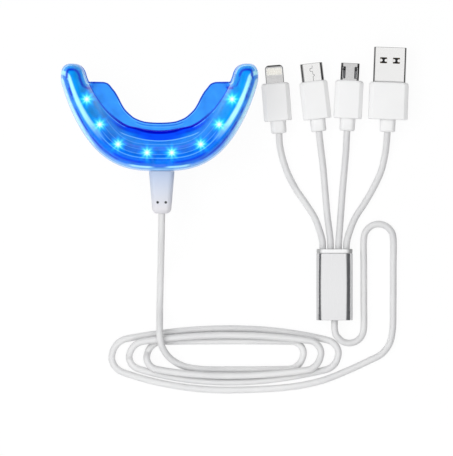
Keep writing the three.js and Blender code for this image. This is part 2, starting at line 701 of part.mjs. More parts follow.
function makeEightPin() {
  const group = plugGroup(eightPin);
  const { tabWidth, tabThickness, tabCorner, tabTipCorner, insertInset } = eightPin;
  makeHousing('eight_pin', eightPin, group,
    roundedShape(tabWidth + 2 * seat, tabThickness + 2 * seat, tabCorner + seat));

  const root = shellRoot(eightPin);
  const tip = noseOf(eightPin) + eightPin.tabLength;
  const plan = new THREE.Shape();
  plan.moveTo(-tabWidth / 2, root);
  plan.lineTo(tabWidth / 2, root);
  plan.lineTo(tabWidth / 2, tip - tabTipCorner);
  plan.absarc(tabWidth / 2 - tabTipCorner, tip - tabTipCorner, tabTipCorner, 0, Math.PI / 2);
  plan.absarc(-tabWidth / 2 + tabTipCorner, tip - tabTipCorner, tabTipCorner, Math.PI / 2, Math.PI);
  const tab = new THREE.ExtrudeGeometry(plan, { depth: tabThickness, bevelEnabled: false, curveSegments: 4 });
  tab.translate(0, 0, -tabThickness / 2);
  const { windowWidth, windowLength, windowCorner, windowFromTip } = eightPin;
  const windowMiddle = tip - windowFromTip - windowLength / 2;
  const opening = new THREE.ExtrudeGeometry(roundedShape(windowWidth, windowLength, windowCorner), {
    depth: tabThickness + 2 * overrun, bevelEnabled: false, curveSegments: 2,
  });
  opening.translate(0, windowMiddle, -tabThickness / 2 - overrun);
  addPiece('eight_pin_tab', cut(tab, opening), platedSteel, group);

  const insertWidth = windowWidth - 2 * insertInset;
  const insertLength = windowLength - 2 * insertInset;
  const insert = new THREE.ExtrudeGeometry(roundedShape(insertWidth, insertLength, windowCorner), {
    depth: tabThickness, bevelEnabled: false, curveSegments: 2,
  });
  insert.translate(0, windowMiddle, -tabThickness / 2);
  const grooves = [];
  for (let i = 1; i < eightPin.contactCount; i += 1) {
    const x = insertWidth * (i / eightPin.contactCount - 0.5);
    for (const side of [-1, 1]) {
      const groove = new THREE.BoxGeometry(eightPin.grooveWidth, insertLength + overrun, 2 * eightPin.grooveDepth);
      groove.translate(x, windowMiddle, side * tabThickness / 2);
      grooves.push(groove);
    }
  }
  addPiece('eight_pin_contacts', cut(insert, ...grooves), goldPlate, group);
}

function hollowBar(width, thickness, corner, wall, length) {
  const shape = roundedShape(width, thickness, corner);
  shape.holes.push(roundedShape(width - 2 * wall, thickness - 2 * wall, Math.max(corner - wall, wall / 2)));
  return barOf(shape, length);
}

function makeTypeC() {
  const group = plugGroup(typeC);
  const { shellWidth, shellThickness, shellLength, wall, coreWall, coreSetBack } = typeC;
  const round = shellThickness / 2;
  makeHousing('type_c', typeC, group,
    roundedShape(shellWidth + 2 * seat, shellThickness + 2 * seat, round + seat));
  const root = shellRoot(typeC);
  const length = noseOf(typeC) + shellLength - root;
  const shell = hollowBar(shellWidth, shellThickness, round, wall, length);
  shell.translate(0, root, 0);
  addPiece('type_c_shell', shell, platedSteel, group);
  const lining = wall + seat;
  const core = bar(shellWidth - 2 * lining, shellThickness - 2 * lining, round - lining, length - coreSetBack);
  const slit = bar(
    shellWidth - 2 * lining - 2 * coreWall, shellThickness - 2 * lining - 2 * coreWall,
    round - lining - coreWall, length,
  );
  slit.translate(0, (length - coreSetBack) / 2, 0);
  const lined = cut(core, slit);
  lined.translate(0, root, 0);
  addPiece('type_c_core', lined, insulator, group);
}

// Section with its two lower corners cut off
function trapezoid(width, thickness, chamfer) {
  const x = width / 2;
  const z = thickness / 2;
  return new THREE.Shape([
    new THREE.Vector2(-x + chamfer, z), new THREE.Vector2(-x, z - chamfer), new THREE.Vector2(-x, -z),
    new THREE.Vector2(x, -z), new THREE.Vector2(x, z - chamfer), new THREE.Vector2(x - chamfer, z),
  ]);
}

function makeMicroB() {
  const group = plugGroup(microB);
  const { shellWidth, shellThickness, shellLength, wall, chamfer } = microB;
  makeHousing('micro_b', microB, group,
    roundedShape(shellWidth + 2 * seat, shellThickness + 2 * seat, chamfer / 2));
  const root = shellRoot(microB);
  const nose = noseOf(microB) + shellLength;
  const length = nose - root;
  const shape = trapezoid(shellWidth, shellThickness, chamfer);
  shape.holes.push(trapezoid(shellWidth - 2 * wall, shellThickness - 2 * wall, chamfer - wall / 2));
  const shell = barOf(shape, length);
  shell.translate(0, root, 0);
  const slotLength = microB.latchLength + 2 * seat;
  const slotMiddle = nose - microB.slotFromNose - slotLength / 2;
  const top = shellThickness / 2;
  const slots = [-1, 1].map((side) => {
    const slot = new THREE.BoxGeometry(microB.slotWidth, slotLength, 2 * (wall + microB.slotWidth / 4));
    slot.translate(side * microB.slotPitch / 2, slotMiddle, top);
    return slot;
  });
  addPiece('micro_b_shell', cut(shell, ...slots), platedSteel, group);

  const tongueBase = -top + wall + seat;
  const tongue = bar(microB.tongueWidth, microB.tongueThickness, 0, length - microB.tongueSetBack);
  tongue.translate(0, root, tongueBase + microB.tongueThickness / 2);
  addPiece('micro_b_tongue', tongue, insulator, group);

  // Sprung latches: flush in the shell's slots, with a hook that stands proud of them
  const { latchWidth, latchLength, latchThickness, hookRise, hookLength } = microB;
  for (const [side, name] of [[-1, 'left'], [1, 'right']]) {
    const profile = new THREE.Shape([
      new THREE.Vector2(0, -latchThickness), new THREE.Vector2(latchLength, -latchThickness),
      new THREE.Vector2(latchLength, 0), new THREE.Vector2(latchLength - hookLength / 3, hookRise),
      new THREE.Vector2(latchLength - hookLength, hookRise), new THREE.Vector2(latchLength - hookLength, 0),
      new THREE.Vector2(0, 0),
    ]);
    const latch = new THREE.ExtrudeGeometry(profile, { depth: latchWidth, bevelEnabled: false });
    latch.translate(0, 0, -latchWidth / 2);
    latch.rotateX(Math.PI / 2);
    latch.rotateZ(Math.PI / 2);
    latch.translate(side * microB.slotPitch / 2, slotMiddle - latchLength / 2, top);
    addPiece(`micro_b_latch_${name}`, latch, platedSteel, group);
  }
}

function makeTypeA() {
  const group = plugGroup(typeA);
  const { shellWidth, shellThickness, shellLength, wall, shellCorner } = typeA;
  makeHousing('type_a', typeA, group,
    roundedShape(shellWidth + 2 * seat, shellThickness + 2 * seat, shellCorner + seat));
  const root = shellRoot(typeA);
  const nose = noseOf(typeA) + shellLength;
  const shell = hollowBar(shellWidth, shellThickness, shellCorner, wall, nose - root);
  shell.translate(0, root, 0);
  const windows = [-1, 1].map((side) => {
    const hole = new THREE.BoxGeometry(typeA.windowWidth, typeA.windowLength, shellThickness + overrun);
    hole.translate(side * typeA.windowPitch / 2, nose - typeA.windowFromNose, 0);
    return hole;
  });
  addPiece('type_a_shell', cut(shell, ...windows), platedSteel, group);

  const tongueWidth = shellWidth - 2 * (wall + seat);
  const tongueBase = -shellThickness / 2 + wall + seat;
  const tongue = bar(tongueWidth, typeA.tongueThickness, 0, nose - typeA.tongueSetBack - root);
  tongue.translate(0, root, tongueBase + typeA.tongueThickness / 2);
  addPiece('type_a_tongue', tongue, whitePlastic, group);
  const contactBase = tongueBase + typeA.tongueThickness + seat;
  typeA.contactShares.forEach((share, i) => {
    const contact = bar(typeA.contactWidth, typeA.contactThickness, 0, typeA.contactLength);
    contact.translate(
      tongueWidth * share,
      nose - 2 * typeA.tongueSetBack - typeA.contactLength,
      contactBase + typeA.contactThickness / 2,
    );
    addPiece(`type_a_contact_${i + 1}`, contact, goldPlate, group);
  });
}

// Branch cords, from the sleeve's collar to the plugs
const branchCount = 4;
const collarY = splitter.y + splitter.length + seat;
const outlet = (i) => [
  splitter.x + branchPitch * (i - (branchCount - 1) / 2), collarY, splitter.thickness / 2,
];
const inlet = (plug) => [
  plug.x - seat * Math.cos(radians(plug.heading)),
  plug.y - seat * Math.sin(radians(plug.heading)),
  plug.thickness / 2,
];
const branchRoutes = {
  branch_eight_pin: [
    outlet(0), [60.2, -38, 3.3], [59.4, -34.8, 2.5], [57.3, -29.2, 1.4], [54.1, -24.1, floorZ],
    [50.4, -18.7, floorZ], [47.3, -12.7, floorZ], [45.3, -6.6, 1.5], [44.4, -2.2, 2.4], inlet(eightPin),
  ],
  branch_type_c: [
    outlet(1), [63.15, -38, 3.3], [62.8, -34.5, 2.5], [62.1, -29, 1.4], [61.4, -21.6, floorZ],
    [60.6, -12, floorZ], [59.8, -5, 1.5], [59.3, -1, 2.6], inlet(typeC),
  ],
  branch_micro_b: [
    outlet(2), [66.25, -38, 3.3], [66.5, -34.5, 2.5], [67, -28, 1.4], [67.6, -20, floorZ],
    [68.3, -12, floorZ], [68.9, -5, 1.5], [69.1, -0.8, 2.6], inlet(microB),
  ],
  branch_type_a: [
    outlet(3), [69.2, -38.2, 3.3], [70.2, -34.6, 2.5], [72.4, -29.2, 1.4], [76, -23.6, floorZ],
    [79.4, -17.6, floorZ], [82, -11.8, floorZ], [83.5, -5.2, 1.5], [84, -0.9, 3], inlet(typeA),
  ],
};

makeTray();
makeLightBoard();
makeBoot();
makeMainCord();
makeSplitter();
for (const [name, route] of Object.entries(branchRoutes)) addCord(name, route, branchSteps);
makeEightPin();
makeTypeC();
makeMicroB();
makeTypeA();

export default device;
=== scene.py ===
# A whitening tray with its own light, on one thin lead that divides to four charging plugs.
# Metres, +Z up. The whole set lies on a table at z = 0 and the camera looks straight down at it.
import json
import math
from bisect import bisect_right

import bmesh
import bpy
from mathutils import Matrix, Vector

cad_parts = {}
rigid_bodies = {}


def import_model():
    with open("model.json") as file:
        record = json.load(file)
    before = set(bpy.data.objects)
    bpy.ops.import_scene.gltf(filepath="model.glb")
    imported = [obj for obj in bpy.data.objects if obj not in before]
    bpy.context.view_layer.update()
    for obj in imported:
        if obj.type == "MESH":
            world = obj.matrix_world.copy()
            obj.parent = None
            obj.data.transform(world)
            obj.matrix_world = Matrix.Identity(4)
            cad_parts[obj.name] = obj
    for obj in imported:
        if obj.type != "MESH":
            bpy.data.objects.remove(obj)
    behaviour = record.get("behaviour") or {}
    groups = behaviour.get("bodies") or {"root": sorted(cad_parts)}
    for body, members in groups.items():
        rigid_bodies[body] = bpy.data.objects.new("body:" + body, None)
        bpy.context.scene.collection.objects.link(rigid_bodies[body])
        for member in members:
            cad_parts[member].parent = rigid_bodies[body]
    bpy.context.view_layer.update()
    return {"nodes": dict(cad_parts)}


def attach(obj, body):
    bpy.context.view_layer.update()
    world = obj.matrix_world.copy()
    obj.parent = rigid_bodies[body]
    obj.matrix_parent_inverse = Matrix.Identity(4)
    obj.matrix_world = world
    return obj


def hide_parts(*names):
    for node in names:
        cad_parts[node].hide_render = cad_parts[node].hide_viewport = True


mm = 0.001
seat = 0.3  # mm, the gap that the CAD model leaves between two pieces that touch
cutOver = 1  # mm, how far a cutter reaches past the surface that it cuts
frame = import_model()
print("frame loaded,", len(frame["nodes"]), "nodes")


# Small helpers
def between(a, b, share):
    return a + (b - a) * share


def ease(value):
    inside = min(1, max(0, value))
    return inside * inside * (3 - 2 * inside)


def quarterTurn(steps):
    # A rounded edge at even angles: how far in from the side, and how far in from the end
    angles = [math.pi / 2 * i / steps for i in range(steps + 1)]
    return [(1 - math.sin(angle), 1 - math.cos(angle)) for angle in angles]


def linear(hexColour):  # sRGB to the renderer's linear values
    parts = [int(hexColour[i : i + 2], 16) / 255 for i in (1, 3, 5)]
    return (*[c / 12.92 if c <= 0.04045 else ((c + 0.055) / 1.055) ** 2.4 for c in parts], 1)


def perMetre(sizeInMm):  # scale of a texture whose grain has this size
    return 1000 / sizeInMm


# Camera: straight above, on a long lens. All in millimetres
cameraSet = {
    "lens": 800, "sensor": 36, "centre": (24.7, -33.06),
    "viewHeight": 168.9,  # of table, from the top of the picture to the bottom
}


def makeCamera():
    data = bpy.data.cameras.new("camera")
    data.lens, data.sensor_width = cameraSet["lens"], cameraSet["sensor"]
    data.clip_start, data.clip_end = 0.05, 10
    camera = bpy.data.objects.new("camera", data)
    distance = cameraSet["viewHeight"] * cameraSet["lens"] / cameraSet["sensor"]
    camera.location = [value * mm for value in (*cameraSet["centre"], distance)]
    bpy.context.scene.collection.objects.link(camera)
    bpy.context.scene.camera = camera


makeCamera()


# Materials
def inUse(sockets, name=None):
    # Of the sockets that share a name, the one that the node's settings put in use
    return next(socket for socket in sockets if socket.enabled and name in (None, socket.name))


def linkTo(material, node, inputs):
    # An input takes a value, an output, or a node, of which it takes the output in use
    for name, value in inputs.items():
        socket = node.inputs[name] if isinstance(name, int) else inUse(node.inputs, name)
        if isinstance(value, bpy.types.Node):
            value = inUse(value.outputs)
        if isinstance(value, bpy.types.NodeSocket):
            material.node_tree.links.new(value, socket)
        else:
            socket.default_value = value


def addNode(material, kind, inputs, **settings):
    node = material.node_tree.nodes.new(f"ShaderNode{kind}")
    for name, value in settings.items():
        setattr(node, name, value)
    linkTo(material, node, inputs)
    return node


def setStops(ramp, stops):
    elements = ramp.color_ramp.elements
    while len(elements) < len(stops):
        elements.new(0.5)
    for element, (position, hexColour) in zip(elements, stops):
        element.position = position
        element.color = linear(hexColour)
    return ramp


def startMaterial(name, colour, roughness, **inputs):
    material = bpy.data.materials.new(name)
    material.use_nodes = True
    shader = material.node_tree.nodes["Principled BSDF"]
    named = {socket.replace("_", " "): value for socket, value in inputs.items()}
    linkTo(material, shader, {"Base Color": linear(colour), "Roughness": roughness, **named})
    return material, shader, addNode(material, "TexCoord", {}).outputs["Object"]


# Settings that several nodes share
noiseSpan = {"From Min": 0.3, "From Max": 0.7}  # most of a noise texture lies between these
colourMix = {"data_type": "RGBA"}
smoothRange = {"interpolation_type": "SMOOTHSTEP"}


def grainBump(material, place, grainSize, height, detail=2):
    # Fine moulded grain: its size and height in millimetres
    noise = addNode(material, "TexNoise", {
        "Vector": place, "Scale": perMetre(grainSize), "Detail": detail,
    })
    return addNode(material, "Bump", {"Height": noise, "Distance": height * mm, "Strength": 1})


def addPatches(material, place, size, dark, light, detail=3):
    # Slow change between two tones over the surface, and the noise that makes it
    noise = addNode(material, "TexNoise", {"Vector": place, "Scale": perMetre(size), "Detail": detail})
    tones = [(noiseSpan["From Min"], dark), (noiseSpan["From Max"], light)]
    return noise, setStops(addNode(material, "ValToRGB", {"Fac": noise}), tones)


def paintedSideShade(material, base, stops, sheet=False):
    # Painted shade: the colour is darkened where the surface turns away from level. Sheet metal gets it on
    # both of its faces
    facing = addNode(material, "NewGeometry", {}).outputs["True Normal" if sheet else "Normal"]
    level = addNode(material, "SeparateXYZ", {"Vector": facing}).outputs["Z"]
    if sheet:
        level = addNode(material, "Math", {0: level}, operation="ABSOLUTE")
    shade = setStops(addNode(material, "ValToRGB", {"Fac": level}), stops)
    return addNode(material, "Mix", {"Factor": 1, "A": base, "B": shade}, blend_type="MULTIPLY", **colourMix)


def makeFinish(name, dark, light, patch, rough, grain=None, detail=3, sides=None, sheet=False, **inputs):
    # Two tones in patches of a size in millimetres. Rough is one value, or a low and a high one, in
    # patches of their own where a size follows. Grain is its size and height, in millimetres too
    varied = isinstance(rough, tuple)
    material, shader, place = startMaterial(name, light, rough[1] if varied else rough, **inputs)
    patches, base = addPatches(material, place, patch, dark, light, detail)
    # Sides are the stops of painted shade, darker where the surface turns away from level
    links = {"Base Color": paintedSideShade(material, base, sides, sheet) if sides else base}
    if varied:
        low, high, *own = rough
        for size in own:
            patches = addNode(material, "TexNoise", {"Vector": place, "Scale": perMetre(size)})
        links["Roughness"] = addNode(material, "MapRange", {
            "Value": patches, **noiseSpan, "To Min": low, "To Max": high,
        })
    if grain:
        links["Normal"] = grainBump(material, place, *grain)
    linkTo(material, shader, links)
    return material


def makeSheetMetal(name, dark, light):
    # Faint rolling marks. The corners and sides get painted shade, darker than the level face
    return makeFinish(
        name, dark, light, patch=0.8, rough=(0.12, 0.22), grain=(0.5, 0.002), detail=5,
        sides=[(0, "#9a9a9a"), (0.97, "#9a9a9a"), (0.998, "#ffffff")], sheet=True, Metallic=1,
    )


def makeBootRubber():
    # Moulded silicone rubber, white and lit a little by the tray. Its colour turns bluer and darker towards
    # the tray: painted light of the tray
    material, shader, place = startMaterial("mouldedSiliconeRubber", "#e6e8f2", 0.45, IOR=1.41)
    along = addNode(material, "SeparateXYZ", {"Vector": place}).outputs["Y"]
    near = addNode(material, "MapRange", {"Value": along, "From Min": -26 * mm, "From Max": -12 * mm})
    # Painted blue light of the tray, from far off to near it
    tones = setStops(addNode(material, "ValToRGB", {"Fac": near}), [
        (0, "#dbdadf"), (0.5, "#cad1e0"), (1, "#b0c1de"),
    ])
    grain = grainBump(material, place, 0.3, 0.01, detail=4)
    linkTo(material, shader, {"Base Color": tones, "Normal": grain})
    return material


def makeBrushedAluminium():
    # Extruded aluminium, brushed along its length and clear anodised: drawn-out highlights
    material, shader, place = startMaterial("brushedAluminium", "#eeeef0", 0.2, Metallic=1)
    stretched = addNode(material, "VectorMath", {0: place, 1: (1, 0.02, 1)}, operation="MULTIPLY")
    # Real strokes are about 0.05 mm wide, drawn coarser to show
    strokes, base = addPatches(material, stretched, 0.16, "#ebebec", "#f0f0f1", detail=4)
    linkTo(material, shader, {
        # Its rounded sides get painted shade, darker than the face
        "Base Color": paintedSideShade(material, base, [(0, "#dadadb"), (0.5, "#dadadb"), (0.75, "#ffffff")]),
        "Roughness": addNode(material, "MapRange", {
            "Value": strokes, **noiseSpan, "To Min": 0.18, "To Max": 0.28,
        }),
        "Normal": addNode(material, "Bump", {"Height": strokes, "Distance": 0.0015 * mm, "Strength": 1}),
    })
    return material


def makeCircuitBoard():
    # Glass epoxy board under green solder mask: tinned tracks shine across it
    material, shader, place = startMaterial("maskedGlassEpoxy", "#14664f", 0.3, IOR=1.55)
    tracks = addNode(material, "TexWave", {
        "Vector": place, "Scale": perMetre(1.4) / 20,  # a wave texture repeats 20 times for each unit
        "Distortion": 0,
    }, bands_direction="X").outputs["Fac"]
    tones = setStops(addNode(material, "ValToRGB", {"Fac": tracks}), [(0.55, "#14664f"), (0.62, "#b9bcbd")])
    linkTo(material, shader, {"Base Color": tones, "Normal": grainBump(material, place, 0.2, 0.01)})
    return material


def makeChipLens():
    # Silicone gel over the light-giving die: shows as a blue white point
    material, shader, place = startMaterial("litSiliconeGel", "#e8faff", 0.15, IOR=1.41)
    glow = addPatches(material, place, 0.6, "#c8f6ff", "#ffffff", detail=2)[1]
    linkTo(material, shader, {"Emission Color": glow, "Emission Strength": 1.6})
    return material


# Thermoplastic elastomer, extruded: white, satin, with a soft sheen along the cord
cordRubber = makeFinish(
    "extrudedElastomer", "#d3d3d4", "#dbdbdb", patch=14, rough=(0.36, 0.5, 3), grain=(0.5, 0.008), IOR=1.5,
)
# The same elastomer, moulded in a matt tool: a fine even grain
mouldedRubber = makeFinish(
    "mouldedElastomer", "#e5e5e5", "#ededed", patch=9, rough=0.48, grain=(0.3, 0.012, 4), IOR=1.5,
)
# ABS, injection moulded with a spark-eroded finish: half matt, fine grain
housingPlastic = makeFinish(
    "mouldedAbs", "#e9e9e9", "#ececec", patch=11, rough=(0.33, 0.44, 2), grain=(0.25, 0.006, 4), IOR=1.54,
)
# The same ABS, polished by its mould, with painted shade that greys its rounded ends
capPlastic = makeFinish(
    "polishedAbsPaintedEndShade", "#e9e9e9", "#efefef", patch=6, rough=0.3, grain=(0.3, 0.006, 4),
    sides=[(0, "#b4b4b4"), (0.8, "#b4b4b4"), (0.98, "#ffffff")], IOR=1.54,
)
# Stamped steel, nickel plated: bright
nickelPlate = makeSheetMetal("nickelPlatedSteel", "#efeeee", "#f3f3f2")
# Stainless steel with a satin finish: greyer than the plated shells
satinSteel = makeSheetMetal("satinStainlessSteel", "#cbcaca", "#d6d6d6")
# Hardened spring steel, bare and greyer than plating, darkened further by painted shade of the slots it lies
# in, so that the latches read as marks in their slots
slotShadedSteel = makeSheetMetal("bareSpringSteelSlotShade", "#6a6b6e", "#7e7f82")
# Copper alloy contacts, gold plated: warm, smooth, lightly scuffed by use
goldPlate = makeFinish(
    "goldPlate", "#f4f1e8", "#f9f7f1", patch=0.5, rough=(0.18, 0.36), detail=5, Metallic=1,
)
# Phosphor bronze strip, rolled and left bare: brown and dull inside the shell
bareBronze = makeFinish(
    "rolledPhosphorBronze", "#5e4c33", "#7d6847", patch=0.7, rough=0.4, grain=(0.3, 0.003), Metallic=1,
)
# Glass-filled liquid crystal polymer, moulded: near black, dull
darkInsulator = makeFinish(
    "mouldedDarkPolymer", "#202225", "#303236", patch=1, rough=0.55, grain=(0.2, 0.008, 3), IOR=1.6,
)
# Nylon insert between contacts: cream white
paleInsulator = makeFinish(
    "mouldedNylon", "#efece3", "#f5f4ee", patch=2, rough=0.45, grain=(0.2, 0.006, 3), IOR=1.53,
)
# Polyester flex under white cover film: pale and smooth
flexFilm = makeFinish("flexFilm", "#cfdcf5", "#e8eefb", patch=3, rough=0.4, grain=(0.4, 0.01), IOR=1.57)
# Polyphthalamide chip body, moulded: reflective white
chipBody = makeFinish("mouldedChipBody", "#eef1f4", "#f8fafb", patch=0.6, rough=0.4, IOR=1.6)
bootRubber = makeBootRubber()
brushedAluminium = makeBrushedAluminium()
circuitBoard = makeCircuitBoard()
chipLens = makeChipLens()


# Meshes. Sizes are in millimetres until a point is put in its place
def addPiece(name, data, material, slot, *nodes, body="root"):
    # A piece that rides on a body, and stands for these nodes of the CAD model
    data.name = name
    piece = bpy.data.objects.new(name, data)
    bpy.context.scene.collection.objects.link(piece)
    data.materials.append(material)
    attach(piece, body)
    if nodes:
        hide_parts(*nodes)
    return piece


def shadeMesh(mesh, sharpAngle=35):
    mesh.shade_smooth()
    mesh.set_sharp_from_angle(angle=math.radians(sharpAngle))


def paintNodes(material, *names, smooth=False):
    # The finish of CAD nodes that stay
    for name in names:
        data = frame["nodes"][name].data
        data.materials.clear()
        data.materials.append(material)
        if smooth:
            shadeMesh(data)


def loftMesh(loops, sharpAngle=35, ring=False):
    # Skin through closed loops of equal length. A ring joins its last loop to its first
    count = len(loops[0])
    faces = []
    for row in range(len(loops) if ring else len(loops) - 1):
        start, after = row * count, (row + 1) % len(loops) * count
        for i in range(count):
            j = (i + 1) % count
            faces.append((start + i, start + j, after + j, after + i))
    if not ring:
        faces.append(tuple(range(count - 1, -1, -1)))
        faces.append(tuple((len(loops) - 1) * count + i for i in range(count)))
    mesh = bpy.data.meshes.new("loft")
    mesh.from_pydata([tuple(point) for loop in loops for point in loop], [], faces)
    mesh.validate()
    shape = bmesh.new()
    shape.from_mesh(mesh)
    bmesh.ops.recalc_face_normals(shape, faces=shape.faces)
    shape.to_mesh(mesh)
    shape.free()
    shadeMesh(mesh, sharpAngle)
    return mesh


def roundedOutline(width, thickness, corner, steps=6):
    # Rounded rectangle in x and z
    x, z = width / 2, thickness / 2
    r = max(1e-3, min(corner, x - 1e-3, z - 1e-3))
    outline = []
    for quarter, (cx, cz) in enumerate([(x - r, z - r), (r - x, z - r), (r - x, r - z), (x - r, r - z)]):
        for i in range(steps + 1):
            angle = math.pi / 2 * (quarter + i / steps)
            outline.append((cx + r * math.cos(angle), cz + r * math.sin(angle)))
    return outline


def rectangle(x, y, width, length, corner, steps=4):
    # Rounded outline in x and y about a point
    return [(x + a, y + b) for a, b in roundedOutline(width, length, corner, steps)]


def softPolygon(corners, radius, steps=4, sideShare=0.48):
    # Convex outline with every corner rounded, by at most a share of the sides that meet there
    outline = []
    for i, corner in enumerate(corners):
        here = Vector(corner)
        before, after = Vector(corners[i - 1]) - here, Vector(corners[(i + 1) % len(corners)]) - here
        opening = before.angle(after)
        reach = min(radius / math.tan(opening / 2), sideShare * before.length, sideShare * after.length)
        start, end = here + before.normalized() * reach, here + after.normalized() * reach
        for k in range(steps + 1):
            t = k / steps
            outline.append(tuple(start * (1 - t) ** 2 + here * 2 * t * (1 - t) + end * t**2))
    return outline


def inPlace(place, points):
    # From millimetres in a piece's own directions to metres in the room
    return [place @ Vector((x * mm, y * mm, z * mm)) for x, y, z in points]


def rowLoops(rows, place):
    # Rows are (y, outline in x and z)
    return [inPlace(place, [(x, y, z) for x, z in outline]) for y, outline in rows]


def barLoops(sections, place, steps=6):
    # Sections are (y, width, thickness, corner)
    return rowLoops([(y, roundedOutline(w, t, c, steps)) for y, w, t, c in sections], place)


def stackLoops(outline, heights, place):
    return [inPlace(place, [(x, y, z) for x, y in outline]) for z in heights]


def plateMesh(outline, low, high, place, bevel=0):
    # Flat plate: an outline in x and y, with its upper and lower edges eased
    middle = Vector((sum(x for x, _ in outline) / len(outline), sum(y for _, y in outline) / len(outline)))
    loops = []
    for z, inset in ((low, bevel), (low + bevel, 0), (high - bevel, 0), (high, bevel)):
        loop = []
        for x, y in outline:
            out = Vector((x, y)) - middle
            moved = middle + out * max(0, 1 - inset / max(out.length, 1e-6))
            loop.append((moved.x, moved.y, z))
        loops.append(inPlace(place, loop))
    return loftMesh(loops)


def roundedEnds(start, end, width, thickness, corner, edge, steps=5):
    # Sections of a bar whose two ends are rounded over
    turn = [(edge * fromSide, edge * fromEnd) for fromSide, fromEnd in quarterTurn(steps)]
    rows = [(start + run, inset) for inset, run in turn]
    rows += [(end - run, inset) for inset, run in reversed(turn)]
    return [(y, width - 2 * inset, thickness - 2 * inset, max(corner - inset, 0.05)) for y, inset in rows]


def applyModifiers(piece):
    graph = bpy.context.evaluated_depsgraph_get()
    made = bpy.data.meshes.new_from_object(piece.evaluated_get(graph))
    piece.modifiers.clear()
    piece.data = made


def cutPiece(piece, cutters, bevel=0, sharpAngle=35, bevelAngle=50):
    # Cuts the closed meshes out of the piece and rounds its edges that turn more than the angle
    for cutter in cutters:
        tool = bpy.data.objects.new("cutter", cutter)
        bpy.context.scene.collection.objects.link(tool)
        modifier = piece.modifiers.new("cut", "BOOLEAN")
        modifier.operation, modifier.solver, modifier.object = "DIFFERENCE", "EXACT", tool
        applyModifiers(piece)
        bpy.data.objects.remove(tool)
    if bevel:
        modifier = piece.modifiers.new("soften", "BEVEL")
        modifier.width, modifier.segments = bevel * mm, 2
        modifier.limit_method, modifier.angle_limit = "ANGLE", math.radians(bevelAngle)
        applyModifiers(piece)
    shadeMesh(piece.data, sharpAngle)


# Tray: moulded clear silicone round a folded light board
traySet = {
    "halfWidth": 37, "archDepth": 36, "plateSetBack": 3, "widthPower": 2.936, "depthPower": 1.221,
    "height": 25, "wallPower": 1.5,
    "wallDepths": [14.5, 15.2, 13.5, 11.05, 9.5],  # at even steps along the arm
    "plateThickness": 2, "plateInnerFront": 17.7, "plateEdge": 0.35,
    "plateEdgePoints": [
        (0, 0.28), (5.2, 0.62), (8.55, 1.73), (10.3, 2.84), (12.6, 5.07), (14, 7.3),
        (15.1, 9.5), (16.4, 11.7), (17.3, 12.8), (18.7, 14.5), (20.2, 15.2), (21.4, 15.3),
    ],
    "plateShares": [0.03, 0.1, 0.3, 0.5, 0.7, 0.85, 0.95],  # points across the plate
    # Its square end: where that starts, what is left of the plate there, and how soon it is gone
    "plateFold": (0.998, 0.985, 0.0005),
    "tipLength": 6.8, "tipLean": 6, "tipWidthPower": 2.6, "tipHeightPower": 3, "tipReach": 0.985,
    "notchHalfWidth": 3.6, "notchDepth": 2.2, "notchFloorShare": 0.5, "notchSlopeShare": 0.8,
    "footRound": 0.6, "footIn": 0.15, "footOut": 0.25,  # fillet between the wall and the plate
    "port": (7.3, 4.4, 1.5),  # width, height and corner of the opening for the boot's spigot
    # Sections of one arm: with the plate, past it, and round the tip
    "stations": 96, "endStations": 6, "tipStations": 12,
}
# Outline of the wall from the middle of its outer face, over the rim and down to the plate:
# shares of the wall's depth and of half the tray's height
frontWallShares = [
    (0, 0), (0.02, 0.4), (0.085, 0.72), (0.155, 0.91), (0.21, 1),
    (0.305, 1), (0.395, 0.9), (0.57, 0.576), (0.78, 0.29),
]
armWallShares = [
    (0, 0), (0.03, 0.4), (0.125, 0.72), (0.23, 0.91), (0.31, 1),
    (0.46, 1), (0.625, 0.93), (0.875, 0.66), (0.97, 0.32),
]
flexSet = {
    "thickness": 0.3, "bandWidth": 3.6, "frontDepth": 6.7, "frontHeight": 6.4, "frontTilt": 35.5,
    "armDepth": 7.2, "armHeight": 5.8, "armTilt": 26, "frontFold": 7.9, "armFold": 7.5,
    "slotMargin": 0.3, "endShare": 0.9, "stations": 60,
}
chipSet = {
    "length": 2.4, "width": 1.9, "thickness": 0.7, "edge": 0.08, "corner": 0.25,
    "lensLength": 1.7, "lensWidth": 1.2, "lensRise": 0.12, "lensSunk": 0.12,
    "lensTopShare": 0.08, "lensSteps": 4,  # the flat top of its dome, and rings up to it
    "cupSlope": 0.2, "cupCorner": 0.3,  # of the cup that holds the lens
    "shares": [0.09, 0.365, 0.6, 0.82],
}
bootSet = {
    "x": 0.8, "front": -12.1, "middle": 12.5, "length": 15.6,
    "frontWidth": 9.4, "frontThickness": 8, "backWidth": 6.8, "backThickness": 5.6,
    "shares": [-0.018, 0.002, 0.2, 0.4, 0.6, 0.75],  # sections along it. It starts against the tray
    "corner": 2.2, "frontEase": 0.15,
    # Its rounded end: length, how far in for that length, and how the corners close up
    "endRound": 2, "endInsetShare": 0.75, "endCornerShare": 0.6, "endCorner": 0.4,
    "spigotWidth": 6.7, "spigotThickness": 3.8, "spigotLength": 2.4, "spigotCorner": 1.2,
    "spigotEdge": 0.2,
    "pitRadius": 0.5, "pitDepth": 1.2, "pitPitch": 3, "pitFromFront": 11.2, "pitEdge": 0.06,
    "pitShade": 0.2, "pitShadeEdge": 0.05, "pitShadeShare": 0.98,  # painted shade: a dark filling in each pit, a little narrower
}
half = traySet["height"] / 2
plateReach = traySet["archDepth"] - traySet["plateSetBack"]
chipStack = chipSet["thickness"] / 2 + seat + flexSet["thickness"]


